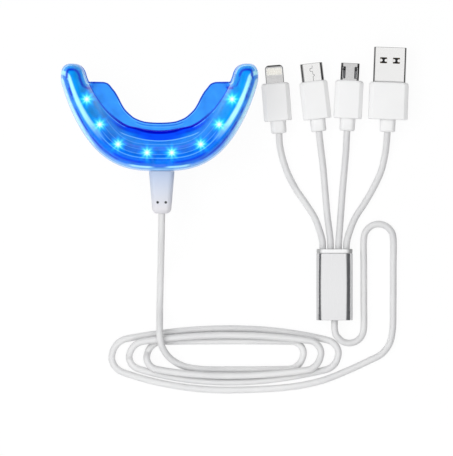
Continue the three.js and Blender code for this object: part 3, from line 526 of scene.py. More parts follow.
class EvenCurve:
    # A plan curve that is read by the share of its length
    def __init__(self, points):
        self.points = points
        self.marks = [0]
        for a, b in zip(points, points[1:]):
            self.marks.append(self.marks[-1] + (b - a).length)
        self.length = self.marks[-1]

    def at(self, share):
        wanted = min(1, max(0, share)) * self.length
        high = bisect_right(self.marks, wanted, 1, len(self.marks) - 1)
        low = high - 1
        part = (wanted - self.marks[low]) / (self.marks[high] - self.marks[low])
        return self.points[low].lerp(self.points[high], part)

    def direction(self, share, step=0.002):
        return (self.at(min(1, share + step)) - self.at(max(0, share - step))).normalized()


def makeArch(count=900):
    end = math.acos((traySet["plateSetBack"] / traySet["archDepth"]) ** (traySet["depthPower"] / 2))
    points = []
    for i in range(count + 1):
        angle = end * i / count
        x = traySet["halfWidth"] * math.sin(angle) ** (2 / traySet["widthPower"])
        y = traySet["archDepth"] * (1 - math.cos(angle) ** (2 / traySet["depthPower"]))
        points.append(Vector((x, y)))
    return EvenCurve(points)


def rounded(a, b, c, d, t):  # smooth value between b and c
    return 0.5 * (2 * b + (c - a) * t + (2 * a - 5 * b + 4 * c - d) * t**2 + (3 * b - a - 3 * c + d) * t**3)


def smoothLine(points, perSpan):
    # Rounded line through the points, ending at both of the last ones
    spans = [points[0], *points, points[-1]]
    made = []
    for a, b, c, d in zip(spans, spans[1:], spans[2:], spans[3:]):
        for i in range(perSpan):
            made.append(tuple(rounded(*four, i / perSpan) for four in zip(a, b, c, d)))
    return [*made, points[-1]]


def makePlateEdge():
    # Inner edge of the bite plate, from its middle to its square end
    x, y = traySet["plateEdgePoints"][1]
    line = smoothLine([(-x, y), *traySet["plateEdgePoints"]], 40)
    return EvenCurve([Vector((x, traySet["plateInnerFront"] + y)) for x, y in line if x >= 0])


arch = makeArch()
plateEdge = makePlateEdge()


def wallDepth(share):
    values = traySet["wallDepths"]
    last = len(values) - 1
    place = min(1, share) * last
    i = min(math.floor(place), last - 1)
    return rounded(values[max(0, i - 1)], values[i], values[i + 1], values[min(last, i + 2)], place - i)


def inWall(share, depth, height, side=1):
    point, along = arch.at(share), arch.direction(share)
    return Vector((
        side * (point.x - along.y * depth), bootSet["front"] + point.y + along.x * depth, half + height,
    ))


def wallLine(share, side):
    # Upper half of the wall's section, from the outer face to the foot of the inner face
    along = min(share, 1) ** traySet["wallPower"]
    depth = wallDepth(share)
    fromNotch = abs(side * share * arch.length - bootSet["x"]) / traySet["notchHalfWidth"]
    slope = ease((fromNotch - traySet["notchFloorShare"]) / traySet["notchSlopeShare"])
    dip = traySet["notchDepth"] * (1 - slope)
    points = []
    for (frontD, frontZ), (armD, armZ) in zip(frontWallShares, armWallShares):
        rise = between(frontZ, armZ, along)
        height = half * rise - dip * min(1, max(0, 2 * rise - 1))
        points.append((depth * between(frontD, armD, along), height))
    top = traySet["plateThickness"] / 2
    points += [(depth - traySet["footIn"], top + traySet["footRound"]), (depth + traySet["footOut"], top)]
    return smoothLine(points, 5)


def findPlateEnd():
    # Share of the arm at which the foot of the wall passes the square end of the plate
    low, high = 0.8, 1
    for _ in range(30):
        middle = (low + high) / 2
        if inWall(middle, wallDepth(middle), 0).y < bootSet["front"] + plateReach:
            low = middle
        else:
            high = middle
    return low


plateEnd = findPlateEnd()


def trayLoop(share, side, plate=1, stretch=None, noseSteps=5):
    # One section, all the way round. Plate 1 has the bite plate, 0 has it folded into the wall
    place = stretch or (lambda depth, height: inWall(share, depth, height, side))
    upper = wallLine(share, side)
    top, edge = traySet["plateThickness"] / 2, traySet["plateEdge"]
    foot = place(upper[-1][0], 0)
    target = plateEdge.at(share / plateEnd)
    nose = Vector((side * target.x, bootSet["front"] + target.y, half))
    reach = (nose - foot).length
    run = [(part * (reach - edge) / reach, top) for part in traySet["plateShares"]]
    for i in range(noseSteps + 1):
        angle = math.pi / 2 * i / noseSteps
        run.append(((reach - edge + edge * math.sin(angle)) / reach, top * math.cos(angle)))
    upperSide = [place(d, z) for d, z in upper]
    for i, (part, height) in enumerate(run):
        out = foot.lerp(nose, part) + Vector((0, 0, height))
        inside = foot + Vector((0, 0, top * (1 - (i + 1) / len(run))))
        upperSide.append(inside.lerp(out, plate))
    lowerSide = [Vector((p.x, p.y, 2 * half - p.z)) for p in reversed(upperSide[1:-1])]
    return [p * mm for p in [*upperSide, *lowerSide]]


def tipPlace(step, side):
    # Where the section goes in the rounded end of an arm
    middle = wallDepth(1) / 2
    narrow = (1 - step ** traySet["tipWidthPower"]) ** (1 / traySet["tipWidthPower"])
    flatten = (1 - step ** traySet["tipHeightPower"]) ** (1 / traySet["tipHeightPower"])
    root = arch.at(1)
    lean = math.radians(traySet["tipLean"])
    out = step * traySet["tipLength"]

    def place(d, z):
        depth = middle + (d - middle) * narrow
        return Vector((
            side * (root.x + math.sin(lean) * out - math.cos(lean) * depth),
            bootSet["front"] + root.y + math.cos(lean) * out + math.sin(lean) * depth * (1 - step),
            half + z * flatten,
        ))

    return place


def trayLoops():
    count, ends, tips = traySet["stations"], traySet["endStations"], traySet["tipStations"]
    arms = []
    for side in (1, -1):
        arm = [trayLoop(plateEnd * i / count, side) for i in range(count)]
        # The plate folds into the wall over a very short way, so that its end is square
        start, left, past = traySet["plateFold"]
        for share, plate in ((plateEnd * start, 1), (plateEnd, left), (plateEnd + past, 0)):
            arm.append(trayLoop(share, side, plate))
        arm += [trayLoop(between(plateEnd, 1, i / ends), side, 0) for i in range(1, ends + 1)]
        for i in range(1, tips + 1):
            step = math.sin(math.pi / 2 * i / tips) * traySet["tipReach"]
            arm.append(trayLoop(1, side, 0, tipPlace(step, side)))
        arms.append(arm)
    return [*reversed(arms[1][1:]), *arms[0]]


def chipDepth(share):
    return between(flexSet["frontDepth"], flexSet["armDepth"], share ** traySet["wallPower"])


def bandPlace(share):
    # Depth and height of the middle of the board's upper band, and its tilt
    along = share ** traySet["wallPower"]
    tilt = math.radians(between(flexSet["frontTilt"], flexSet["armTilt"], along))
    return chipDepth(share), between(flexSet["frontHeight"], flexSet["armHeight"], along), tilt


def foldedLoops(front, back, margin, endShare):
    # Sections of the folded board, or of the slot round it: two bands that slope to a fold
    halfBand = flexSet["bandWidth"] / 2 + margin
    grow = flexSet["thickness"] / 2 + 2 * margin
    count = flexSet["stations"]
    loops = []
    for i in range(-count, count + 1):
        share = abs(i) / count * endShare
        depth, height, tilt = bandPlace(share)
        fold = between(flexSet["frontFold"], flexSet["armFold"], share ** traySet["wallPower"])
        sine, cosine = math.sin(tilt), math.cos(tilt)
        band = [
            (depth + sine * run + cosine * out, height - cosine * run + sine * out)
            for run, out in ((-halfBand, front), (halfBand, front), (halfBand, back), (-halfBand, back))
        ]
        face, rear = band[:2], band[2:]
        outline = [
            *face, (fold + grow, 0), *[(d, -z) for d, z in reversed(face)],
            *[(d, -z) for d, z in reversed(rear)], (fold - grow, 0), *rear,
        ]
        loops.append([inWall(share, d, z, -1 if i < 0 else 1) * mm for d, z in outline])
    return loops


def makeTray(material):
    piece = addPiece("clearTray", loftMesh(trayLoops(), sharpAngle=60), material, "silicone", "tray")
    margin = flexSet["slotMargin"]
    endShare = flexSet["endShare"] + margin / arch.length
    slot = loftMesh(foldedLoops(chipSet["thickness"] / 2 + margin, -chipStack - margin, margin, endShare))
    place = Matrix.Translation((bootSet["x"] * mm, 0, half * mm))
    ends = (bootSet["front"] - 2 * cutOver, bootSet["front"] + flexSet["frontFold"])
    port = loftMesh(barLoops([(y, *traySet["port"]) for y in ends], place))
    cutPiece(piece, [slot, port], sharpAngle=50)
    return piece


# Painted light of the tray. Reaches are in millimetres
glowSet = {"rays": 8, "haloReach": 3.5, "rayReach": 4.8, "falloff": 2.2, "bodyLight": 0.2}
glowStops = [  # from the edge of a chip's glow to its core
    (0, "#000000"), (0.06, "#022c54"), (0.2, "#0c78b0"),
    (0.42, "#48c8ec"), (0.66, "#b4f4ff"), (0.84, "#ffffff"),
]
siliconeTones = {
    "rim": "#b4e4fc", "mist": "#6fb2f4", "outline": "#2f78d4", "navy": "#0838cc", "violet": "#4478ec",
    "royal": "#0846de", "azure": "#0870e8", "sky": "#1e86ee", "ice": "#a6ecff", "arc": "#6cb8ff",
    "bright": "#0648f8", "toe": "#0004b8", "plate": "#308aee", "shade": "#0024b0", "lagoon": "#0a90ec",
}
# Tones, with painted light, painted highlights and painted shade in them, from the outer face, 0, over the
# foot of the wall, 0.6, to the plate's inner edge, 1
siliconeBands = {
    "front": [(0, "rim"), (0.035, "mist"), (0.07, "azure"), (0.2, "azure"), (0.33, "azure"), (0.4, "sky"),
              (0.45, "azure"), (0.475, "bright"), (0.56, "bright"), (0.572, "toe"), (0.655, "toe"),
              (0.68, "plate"), (1, "plate")],
    "middle": [(0, "rim"), (0.035, "mist"), (0.07, "azure"), (0.16, "azure"), (0.3, "azure"), (0.42, "sky"),
               (0.5, "azure"), (0.53, "royal"), (0.57, "bright"), (0.585, "toe"), (0.625, "toe"),
               (0.645, "plate"), (1, "plate")],
    "arm": [(0, "rim"), (0.06, "rim"), (0.09, "sky"), (0.15, "sky"), (0.185, "ice"), (0.24, "ice"),
            (0.275, "lagoon"), (0.57, "lagoon"), (0.6, "royal"), (0.62, "plate"), (1, "plate")],
}
# Shares of the arch over which the bands pass from the front's to the middle's, and to the arm's
bandPassShares = {"middle": (0.04, 0.32), "arm": (0.45, 0.75)}
# Painted highlights and painted dark lines, for light that the moulding's steps and the board's edges would
# bend and reflect: what they are measured by, their place and half width, from where to where along the arch,
# their tone and how clear they are
siliconeLines = [
    ("rim", 0.1, 0.35, -1, 2, "outline", 0.9), ("rim", 0.8, 0.35, 0.5, 2, "ice", 0.8),
    ("rim", 2, 0.5, 0.3, 0.8, "navy", 1), ("rim", 2.4, 0.95, 0.86, 2, "navy", 1),
    ("rim", 3.1, 1, 0.1, 0.36, "royal", 1), ("rim", 1.45, 0.55, 0.05, 0.21, "ice", 1),
    ("rim", 0.75, 0.2, 0.05, 0.5, "outline", 0.7), ("rim", 2, 0.9, -1, 0.05, "violet", 0.8),
    ("depth", 0.46, 0.012, -1, 0.42, "arc", 1), ("depth", 0.57, 0.01, 0.42, 0.7, "arc", 0.7),
    ("board", -2.6, 0.3, -1, 0.5, "navy", 0.45), ("board", -2, 0.25, -1, 0.55, "arc", 0.7),
    ("board", -1.2, 0.25, -1, 0.55, "navy", 0.3), ("board", -0.6, 0.22, -1, 0.55, "arc", 0.5),
    ("board", 1.1, 0.25, -1, 0.6, "arc", 0.35), ("board", 1.9, 0.7, -1, 0.35, "violet", 0.6),
    ("board", 3.1, 0.25, -1, 0.6, "arc", 0.4), ("lip", 0.35, 0.45, -1, 2, "shade", 1),
    ("lip", 0.75, 0.22, -1, 0.7, "arc", 0.6), ("lip", 1.25, 0.25, -1, 0.3, "shade", 0.6),
    ("lip", 1.75, 0.22, -1, 0.3, "arc", 0.4),
]
brokenFrom = 0.25  # share of the arch past which a line that starts there is broken
lineFade = 0.03  # half of the share of the arch over which a line fades at its two ends
lineMeasures = ("depth", "along", "rim", "board", "lip")


def ledGlow(material, place, centre):
    # Painted light round one chip, in the silicone's own glow: a white core and a soft halo, where light
    # spreads in clear silicone, and faint rays of star flare. Both arms and both rows share one chip place
    offset = addNode(material, "VectorMath", {0: place, 1: centre}, operation="SUBTRACT")
    parts = addNode(material, "SeparateXYZ", {"Vector": offset}).outputs
    distance = addNode(material, "VectorMath", {0: offset}, operation="LENGTH")
    angle = addNode(material, "Math", {0: parts["Y"], 1: parts["X"]}, operation="ARCTAN2")
    turns = addNode(material, "Math", {0: angle, 1: glowSet["rays"]}, operation="MULTIPLY")
    rays = addNode(material, "MapRange", {
        "Value": addNode(material, "Math", {0: turns}, operation="COSINE"), "From Min": -1, "From Max": 1,
        "To Min": glowSet["haloReach"] * mm, "To Max": glowSet["rayReach"] * mm,
    })
    share = addNode(material, "Math", {0: distance, 1: rays}, operation="DIVIDE")
    faded = addNode(material, "Math", {0: 1, 1: share}, operation="SUBTRACT", use_clamp=True)
    return addNode(material, "Math", {0: faded, 1: glowSet["falloff"]}, operation="POWER")


def softSpan(material, value, low, high, soft):
    # 1 between low and high, with soft ends
    up, down = [
        addNode(material, "MapRange", {"Value": value, "From Min": a, "From Max": b}, **smoothRange)
        for a, b in ((low - soft, low + soft), (high + soft, high - soft))
    ]
    return addNode(material, "Math", {0: up, 1: down}, operation="MULTIPLY")


def makeSilicone():
    # Liquid silicone rubber, moulded against polished steel: clear and glossy. Its blue is painted
    # light of the chips inside, deep where the wall is thick and pale at the thin outer edge, and it glows
    material, shader, place = startMaterial(
        "clearSilicone", "#3f96ff", 0.12, IOR=1.41, Transmission_Weight=0.05, Specular_IOR_Level=0.1,
    )
    read = {
        name: addNode(material, "Attribute", {}, attribute_name=name).outputs["Fac"] for name in lineMeasures
    }
    bands = {}
    for name, stops in siliconeBands.items():
        ramp = addNode(material, "ValToRGB", {"Fac": read["depth"]})
        bands[name] = setStops(ramp, [(at, siliconeTones[key]) for at, key in stops])
    base = bands["front"]
    for name, (start, end) in bandPassShares.items():
        passed = addNode(material, "MapRange", {
            "Value": read["along"], "From Min": start, "From Max": end,
        }, **smoothRange)
        base = addNode(material, "Mix", {"Factor": passed, "A": base, "B": bands[name]}, **colourMix)
    # Cloudy flow marks of the moulding, a little darker and lighter
    marks = addNode(material, "TexNoise", {"Vector": place, "Scale": perMetre(4), "Detail": 3})
    clouds = addNode(material, "MapRange", {"Value": marks, **noiseSpan, "To Min": 0.85, "To Max": 1.1})
    base = addNode(material, "Mix", {"Factor": 1, "A": base, "B": clouds}, blend_type="MULTIPLY", **colourMix)
    # Along the arms the painted lines are broken in places
    broken = addNode(material, "MapRange", {
        "Value": marks, "From Min": 0.4, "From Max": 0.5, "To Min": 0.15, "To Max": 1,
    })
    for measure, at, halfWidth, start, end, key, strength in siliconeLines:
        edge = halfWidth / 2
        mask = softSpan(material, read[measure], at - edge, at + edge, edge)
        lengthwise = softSpan(material, read["along"], start, end, lineFade)
        for factor in [lengthwise, strength, *([broken] if start > brokenFrom else [])]:
            mask = addNode(material, "Math", {0: mask, 1: factor}, operation="MULTIPLY")
        tone = linear(siliconeTones[key])
        base = addNode(material, "Mix", {"Factor": mask, "A": base, "B": tone}, **colourMix)
    # Painted glow round the chips, mirrored to both arms
    parts = addNode(material, "SeparateXYZ", {"Vector": place}).outputs
    mirrored = addNode(material, "Math", {0: parts["X"]}, operation="ABSOLUTE")
    flat = addNode(material, "CombineXYZ", {"X": mirrored, "Y": parts["Y"]})
    glow = 0
    for share in chipSet["shares"]:
        centre = inWall(share, chipDepth(share), 0) * mm
        centre.z = 0
        glow = addNode(material, "Math", {0: glow, 1: ledGlow(material, flat, centre)}, operation="MAXIMUM")
    light = setStops(addNode(material, "ValToRGB", {"Fac": glow}), glowStops)
    shone = addNode(material, "Mix", {
        "Factor": glowSet["bodyLight"], "A": light, "B": base,
    }, blend_type="ADD", **colourMix)
    linkTo(material, shader, {
        "Base Color": base, "Emission Color": shone, "Emission Strength": 1,
        "Normal": grainBump(material, place, 6, 0.05, detail=1),
    })
    return material


def nearest(line, spot, stride=8):
    # Place in a list of points, found coarsely and then closely
    best = min(range(0, len(line), stride), key=lambda i: (line[i] - spot).length_squared)
    nearby = range(max(0, best - stride), min(len(line), best + stride + 1))
    return min(nearby, key=lambda i: (line[i] - spot).length_squared)


def wallEdge(archSteps=300, endSteps=40):
    # The wall's plan outline on one side: outer face, round the tip, and back to the plate
    edge = [arch.at(i / archSteps) for i in range(archSteps + 1)]
    spots = []
    for d, steps in ((0, range(1, endSteps + 1)), (wallDepth(1), range(endSteps, -1, -1))):
        spots += [tipPlace(math.sin(math.pi / 2 * i / endSteps), 1)(d, 0) for i in steps]
    for i in range(1, endSteps + 1):
        share = between(1, plateEnd, i / endSteps)
        spots.append(inWall(share, wallDepth(share), 0))
    return [*edge, *[Vector((spot.x, spot.y - bootSet["front"])) for spot in spots]]


def markTray(piece, archSteps=400, plateSteps=200, endSteps=60, pastEnd=12, footShare=0.6):
    # Values at each point of the tray: how far in from the outer face, how far along, and in
    # millimetres the distances from the wall's edge, the line of chips and the plate's edge
    outer = [arch.at(i / archSteps) for i in range(archSteps + 1)]
    inner = [plateEdge.at(i / plateSteps) for i in range(plateSteps + 1)]
    edge = wallEdge()
    last = inner[-1]
    far = Vector((last.x + pastEnd, last.y))
    lip = [*inner, *[last.lerp(far, i / endSteps) for i in range(1, endSteps + 1)]]
    measures = {name: [] for name in lineMeasures}
    for vertex in piece.data.vertices:
        spot = Vector((abs(vertex.co.x) / mm, vertex.co.y / mm - bootSet["front"]))
        i = nearest(outer, spot)
        along = i / archSteps
        depth, wall = (outer[i] - spot).length, wallDepth(along)
        past = depth - wall
        share, fromLip = footShare * depth / wall, wall
        if past > 0:
            toEdge = (inner[nearest(inner, spot)] - spot).length
            share = footShare + (1 - footShare) * past / (past + toEdge + 1e-6)
            fromLip = (lip[nearest(lip, spot)] - spot).length
        fromRim = (edge[nearest(edge, spot)] - spot).length
        values = (share, along, fromRim, depth - chipDepth(along), fromLip)
        for measure, value in zip(measures.values(), values):
            measure.append(value)
    for name, values in measures.items():
        piece.data.attributes.new(name, "FLOAT", "POINT").data.foreach_set("value", values)


clearTray = makeTray(makeSilicone())
markTray(clearTray)
print("tray made")


# Light board: printed flex with a row of chips on each half
def chipPlace(share, side, flip):
    depth, height, tilt = bandPlace(share)
    tangent = arch.direction(share)
    inward = Vector((-side * tangent.y, tangent.x, 0))
    look = inward * math.cos(tilt) + Vector((0, 0, math.sin(tilt) * flip))
    across = Vector((tangent.x, side * tangent.y, 0))
    turned = Matrix((across, look, across.cross(look))).transposed().to_4x4()
    return Matrix.Translation(inWall(share, depth, height * flip, side) * mm) @ turned


def makeChip(name, node, place):
    c = chipSet
    front = c["thickness"] / 2
    floor = front - c["lensSunk"]
    addPiece(name, loftMesh(barLoops([
        *roundedEnds(-front, front, c["length"], c["width"], c["corner"], c["edge"], 2),
        (front, c["lensLength"] + c["cupSlope"], c["lensWidth"] + c["cupSlope"], c["cupCorner"]),
        (floor, c["lensLength"], c["lensWidth"], c["corner"]),
    ], place, 3)), chipBody, "led_lens", node)
    rings = []
    for i in range(c["lensSteps"] + 1):
        angle = math.pi / 2 * i / c["lensSteps"]
        size = max(math.cos(angle), c["lensTopShare"])
        y = floor + (c["lensSunk"] + c["lensRise"]) * math.sin(angle)
        rings.append((y, c["lensLength"] * size, c["lensWidth"] * size, c["corner"] * size))
    addPiece(f"{name}_lens", loftMesh(barLoops(rings, place, 3)), chipLens, "led_lens")


def makeLightBoard():
    mesh = loftMesh(foldedLoops(-chipSet["thickness"] / 2 - seat, -chipStack, 0, flexSet["endShare"]))
    addPiece("lightBoard", mesh, flexFilm, "flex_film", "led_flex")
    shares = chipSet["shares"]
    places = [*[(share, -1) for share in reversed(shares)], *[(share, 1) for share in shares]]
    for row, flip in (("upper", 1), ("lower", -1)):
        for i, (share, side) in enumerate(places):
            makeChip(f"chip_{row}_{i + 1}", f"led_{row}_{i + 1}", chipPlace(share, side, flip))


makeLightBoard()
print("light board made")


# Boot between the tray and the lead
bootRoot = Vector((bootSet["x"], bootSet["front"] - seat, bootSet["middle"]))


def makeBoot():
    b = bootSet
    place = Matrix.Translation(bootRoot * mm)
    length = b["length"] - seat

    def section(share, inset, corner):
        width = between(b["frontWidth"], b["backWidth"], share) - 2 * inset
        thickness = between(b["frontThickness"], b["backThickness"], share) - 2 * inset
        return (-share * length, width, thickness, corner)

    sections = []
    for share in b["shares"]:
        rim = b["frontEase"] if share < 0 else 0
        sections.append(section(share, rim, b["corner"] - rim))
    for fromSide, fromEnd in quarterTurn(8):
        inset = b["endRound"] * fromEnd * b["endInsetShare"]
        corner = max(b["endCorner"], b["corner"] - b["endCornerShare"] * inset)
        sections.append(section(1 - b["endRound"] / length * fromSide, inset, corner))
    mesh = loftMesh(barLoops(sections, place, steps=8))
    piece = addPiece("boot_moulding", mesh, bootRubber, "white_rubber", "boot")

    def ring(x, radius, steps=16):
        angles = [math.tau * i / steps for i in range(steps)]
        return [(x + radius * math.cos(a), radius * math.sin(a) - b["pitFromFront"]) for a in angles]

    top = between(b["frontThickness"], b["backThickness"], b["pitFromFront"] / b["length"]) / 2
    floor, shade = top - b["pitDepth"], top - b["pitShade"]
    pits = []
    for i, side in enumerate((-1, 1)):
        x = side * b["pitPitch"] / 2
        pits.append(loftMesh(stackLoops(ring(x, b["pitRadius"]), (floor, top + cutOver), place)))
        # A dark filling in each pit: painted shade of the hole
        inner = ring(x, b["pitRadius"] * b["pitShadeShare"])
        filling = loftMesh(stackLoops(inner, (floor, shade - b["pitShadeEdge"], shade), place))
        addPiece(f"boot_pit_{i + 1}", filling, darkInsulator, "white_rubber")
    cutPiece(piece, pits, b["pitEdge"])
    size = b["spigotWidth"], b["spigotThickness"], b["spigotCorner"]
    spigot = roundedEnds(-b["spigotEdge"], b["spigotLength"], *size, b["spigotEdge"])
    addPiece("boot_spigot", loftMesh(barLoops(spigot, place)), bootRubber, "white_rubber")


makeBoot()
paintNodes(circuitBoard, "terminal_board")
print("boot made")


# Splitter: brushed sleeve with a moulded cap at each end
splitterSet = {
    "x": 64.68, "y": -67.2, "width": 13.5, "thickness": 7, "length": 26.4,
    "corner": 3.1, "wall": 1, "cap": 1.5, "edge": 0.15, "capEdge": 0.25, "branchPitch": 2.92,
    "setIn": 0.1,  # of the caps, and of the bore's rims, from the sleeve's ends and sides
    "fit": 0.02,  # between the foot and the bore
}


def makeSplitter():
    s = splitterSet
    place = Matrix.Translation((s["x"] * mm, s["y"] * mm, s["thickness"] / 2 * mm))

    def inset(by):
        return s["width"] - 2 * by, s["thickness"] - 2 * by, s["corner"] - by

    end = s["length"] - s["cap"] - s["edge"]
    sleeve = roundedEnds(0, end, *inset(0), s["edge"], steps=2)
    sleeve += [(y, *inset(s["wall"])) for y in (end - s["setIn"], s["setIn"])]
    mesh = loftMesh(barLoops(sleeve, place, steps=10), ring=True)
    pieces = [addPiece("splitter_tube", mesh, brushedAluminium, "aluminium", "splitter_sleeve")]
    for name, node, low, high, by in (
        ("splitter_foot", "splitter_base", s["setIn"], s["cap"] + s["setIn"], s["wall"] + s["fit"]),
        ("splitter_head", "splitter_collar", s["length"] - s["cap"] - s["setIn"], s["length"], s["setIn"]),
    ):
        cap = roundedEnds(low, high, *inset(by), s["capEdge"])
        mesh = loftMesh(barLoops(cap, place, steps=10))
        pieces.append(addPiece(name, mesh, capPlastic, "white_plastic", node))
    paintNodes(housingPlastic, "splitter_core")
    return [*pieces, frame["nodes"]["splitter_core"]]


splitterPieces = makeSplitter()
print("splitter made")


# Plugs. Each lies with its cord entry at x, y and points along its heading in degrees
gripSet = {
    "reliefLength": 4.6, "reliefCorner": 1.9,
    "reliefInsets": [(0, 0.5), (0.12, 0.28), (0.35, 0.12), (0.7, 0.05), (2.3, 0.05)],  # along and in
    "reliefSunk": 0.2,  # of its end in the grip
    "chamferX": 1.5, "chamferZ": 0.85, "edge": 0.5, "rearEdge": 0.35, "noseCorner": 1.1, "noseEdge": 0.45,
    "pocketDepth": 1.1, "pocketGap": 0.12,  # between a metal end and the moulding round it
    "lip": 0.14, "lipIn": 0.03, "lipBack": 0.1,  # rounding of a shell's open end, outside and inside
    "rootSunk": 1,  # of a metal end in the grip
}
# Width and thickness of the strain relief, and the sizes of the metal end
plugSet = {
    "eightPin": {
        "node": "eight_pin", "x": 44.15, "y": 1.98, "heading": 94.5, "width": 10.3, "thickness": 6,
        "length": 14.1, "relief": (5.8, 4.4),
        "end": {"width": 6.7, "thickness": 1.5, "length": 6.6,
                "tipCorner": 1.4, "tipThinning": 0.3, "edge": 0.3,
                "windowWidth": 5.7, "windowLength": 2.8, "windowFromTip": 1, "windowCorner": 0.5,
                "insertGap": 0.08, "insertSunk": 0.1, "insertEdge": 0.05,
                "padWidth": 0.38, "padLength": 1.9, "padPitch": 0.68, "padCount": 8,
                "padFoot": 0.2, "padSunk": 0.04, "padCorner": 0.15, "padEdge": 0.04},
    },
    "typeC": {
        "node": "type_c", "x": 58.9, "y": 2.7, "heading": 96.6, "width": 10.4, "thickness": 6.5,
        "length": 14.1, "relief": (5.8, 4.4),
        "end": {"width": 8.25, "thickness": 2.4, "length": 6.65, "wall": 0.35, "seamWidth": 0.13,
                "seam": [(0.2, 6.65), (0.2, 4.9), (-0.5, 4.75), (-0.75, 4.2), (-0.5, 3.65), (0.2, 3.5),
                         (0.2, 2.6), (0.65, 2.4), (0.65, 1.9), (0.2, 1.7), (0.2, -0.5)],
                "seamBelow": 0.05, "seamAbove": 0.3},  # how far its cutter passes the sheet
    },
    "microB": {
        "node": "micro_b", "x": 69.3, "y": 2.9, "heading": 87.1, "width": 10.4, "thickness": 6.5,
        "length": 14.1, "relief": (5.8, 4.4),
        "end": {"width": 6.85, "thickness": 1.8, "length": 6.4, "wall": 0.25, "chamfer": 0.75, "edge": 0.35,
                "slotPitch": 4.4, "slotWidth": 1.15, "slotFromNose": 1.3, "slotLength": 4.5,
                "slotCorner": 0.3, "slotEdge": 0.04,
                "latchWidth": 0.55, "latchLength": 3.9, "latchSunk": 0.6, "latchThickness": 0.2,
                "latchEdgeIn": 0.05, "latchEdgeDown": 0.04, "hookRise": 0.35, "hookLength": 0.9},
    },
    "typeA": {
        "node": "type_a", "x": 84.2, "y": 2.5, "heading": 87.9, "width": 14.5, "thickness": 8,
        "length": 13.8, "relief": (5.9, 4.6),
        "end": {"width": 12, "thickness": 4.5, "length": 12.9, "wall": 0.35, "corner": 0.75,
                "windowWidth": 2.5, "windowLength": 2.1, "windowPitch": 4.75, "windowFromNose": 4.9,
                "windowCorner": 0.2, "windowEdge": 0.06,
                "tabWidth": 0.95, "tabLength": 1.15, "tabFoot": 0.55, "tabSunk": 0.3, "tabEdge": 0.08,
                "tabLap": 0.1, "tabSteps": 8,
                "tongueLow": -1.6, "tongueHigh": 0.2, "tongueSetBack": 0.5, "tongueEdge": 0.3,
                "tongueGap": 0.05, "tongueCorner": 0.2},
    },
}


def makeHousing(name, plug, face, place, pocket):
    # Strain relief, and a moulded grip with a flat face and slanting sides
    g = gripSet
    low = g["reliefLength"]
    width, thickness = plug["relief"]
    rows = []
    for y, inset in (*g["reliefInsets"], (low + g["reliefSunk"], 0)):
        corner = g["reliefCorner"] - inset
        rows.append((y, roundedOutline(width - 2 * inset, thickness - 2 * inset, corner, steps=8)))
    mesh = loftMesh(rowLoops(rows, place))
    relief = addPiece(f"{name}_relief", mesh, mouldedRubber, "white_rubber", f"{plug['node']}_relief")

    def across(insetX, insetZ):
        x, z = (plug["width"] - 2 * insetX) / 2, (plug["thickness"] - 2 * insetZ) / 2
        flat, side = x - g["chamferX"], z - g["chamferZ"]
        return softPolygon([
            (x, -side), (x, side), (flat, z), (-flat, z), (-x, side), (-x, -side), (-flat, -z), (flat, -z),
        ], g["edge"])

    rows = []
    for fromSide, fromEnd in quarterTurn(4):
        inset = g["rearEdge"] * fromSide
        rows.append((low + g["rearEdge"] * fromEnd, across(inset, inset)))
    for fromSide, fromEnd in reversed(quarterTurn(6)):
        outline = across(g["noseCorner"] * fromSide, g["noseEdge"] * fromSide)
        rows.append((face - g["noseCorner"] * fromEnd, outline))
    mesh = loftMesh(rowLoops(rows, place), sharpAngle=32)
    body = addPiece(f"{name}_body", mesh, housingPlastic, "white_plastic", f"{plug['node']}_housing")
    cutter = rowLoops([(face - g["pocketDepth"], pocket), (face + cutOver, pocket)], place)
    cutPiece(body, [loftMesh(cutter)])
    return [relief, body]


def addShell(name, plug, outer, root, nose, place, metal):
    # Tube of sheet metal whose open end is rounded over
    g, wall = gripSet, plug["end"]["wall"]
    rows = [(root, outer(0))]
    rows += [(nose - g["lip"] * fromSide, outer(g["lip"] * fromEnd)) for fromSide, fromEnd in quarterTurn(4)]
    rows += [(nose, outer(wall - g["lipIn"])), (nose - g["lipBack"], outer(wall)), (root, outer(wall))]
    mesh = loftMesh(rowLoops(rows, place), sharpAngle=40, ring=True)
    return addPiece(f"{name}_shell", mesh, metal, "plated_steel", f"{plug['node']}_shell")


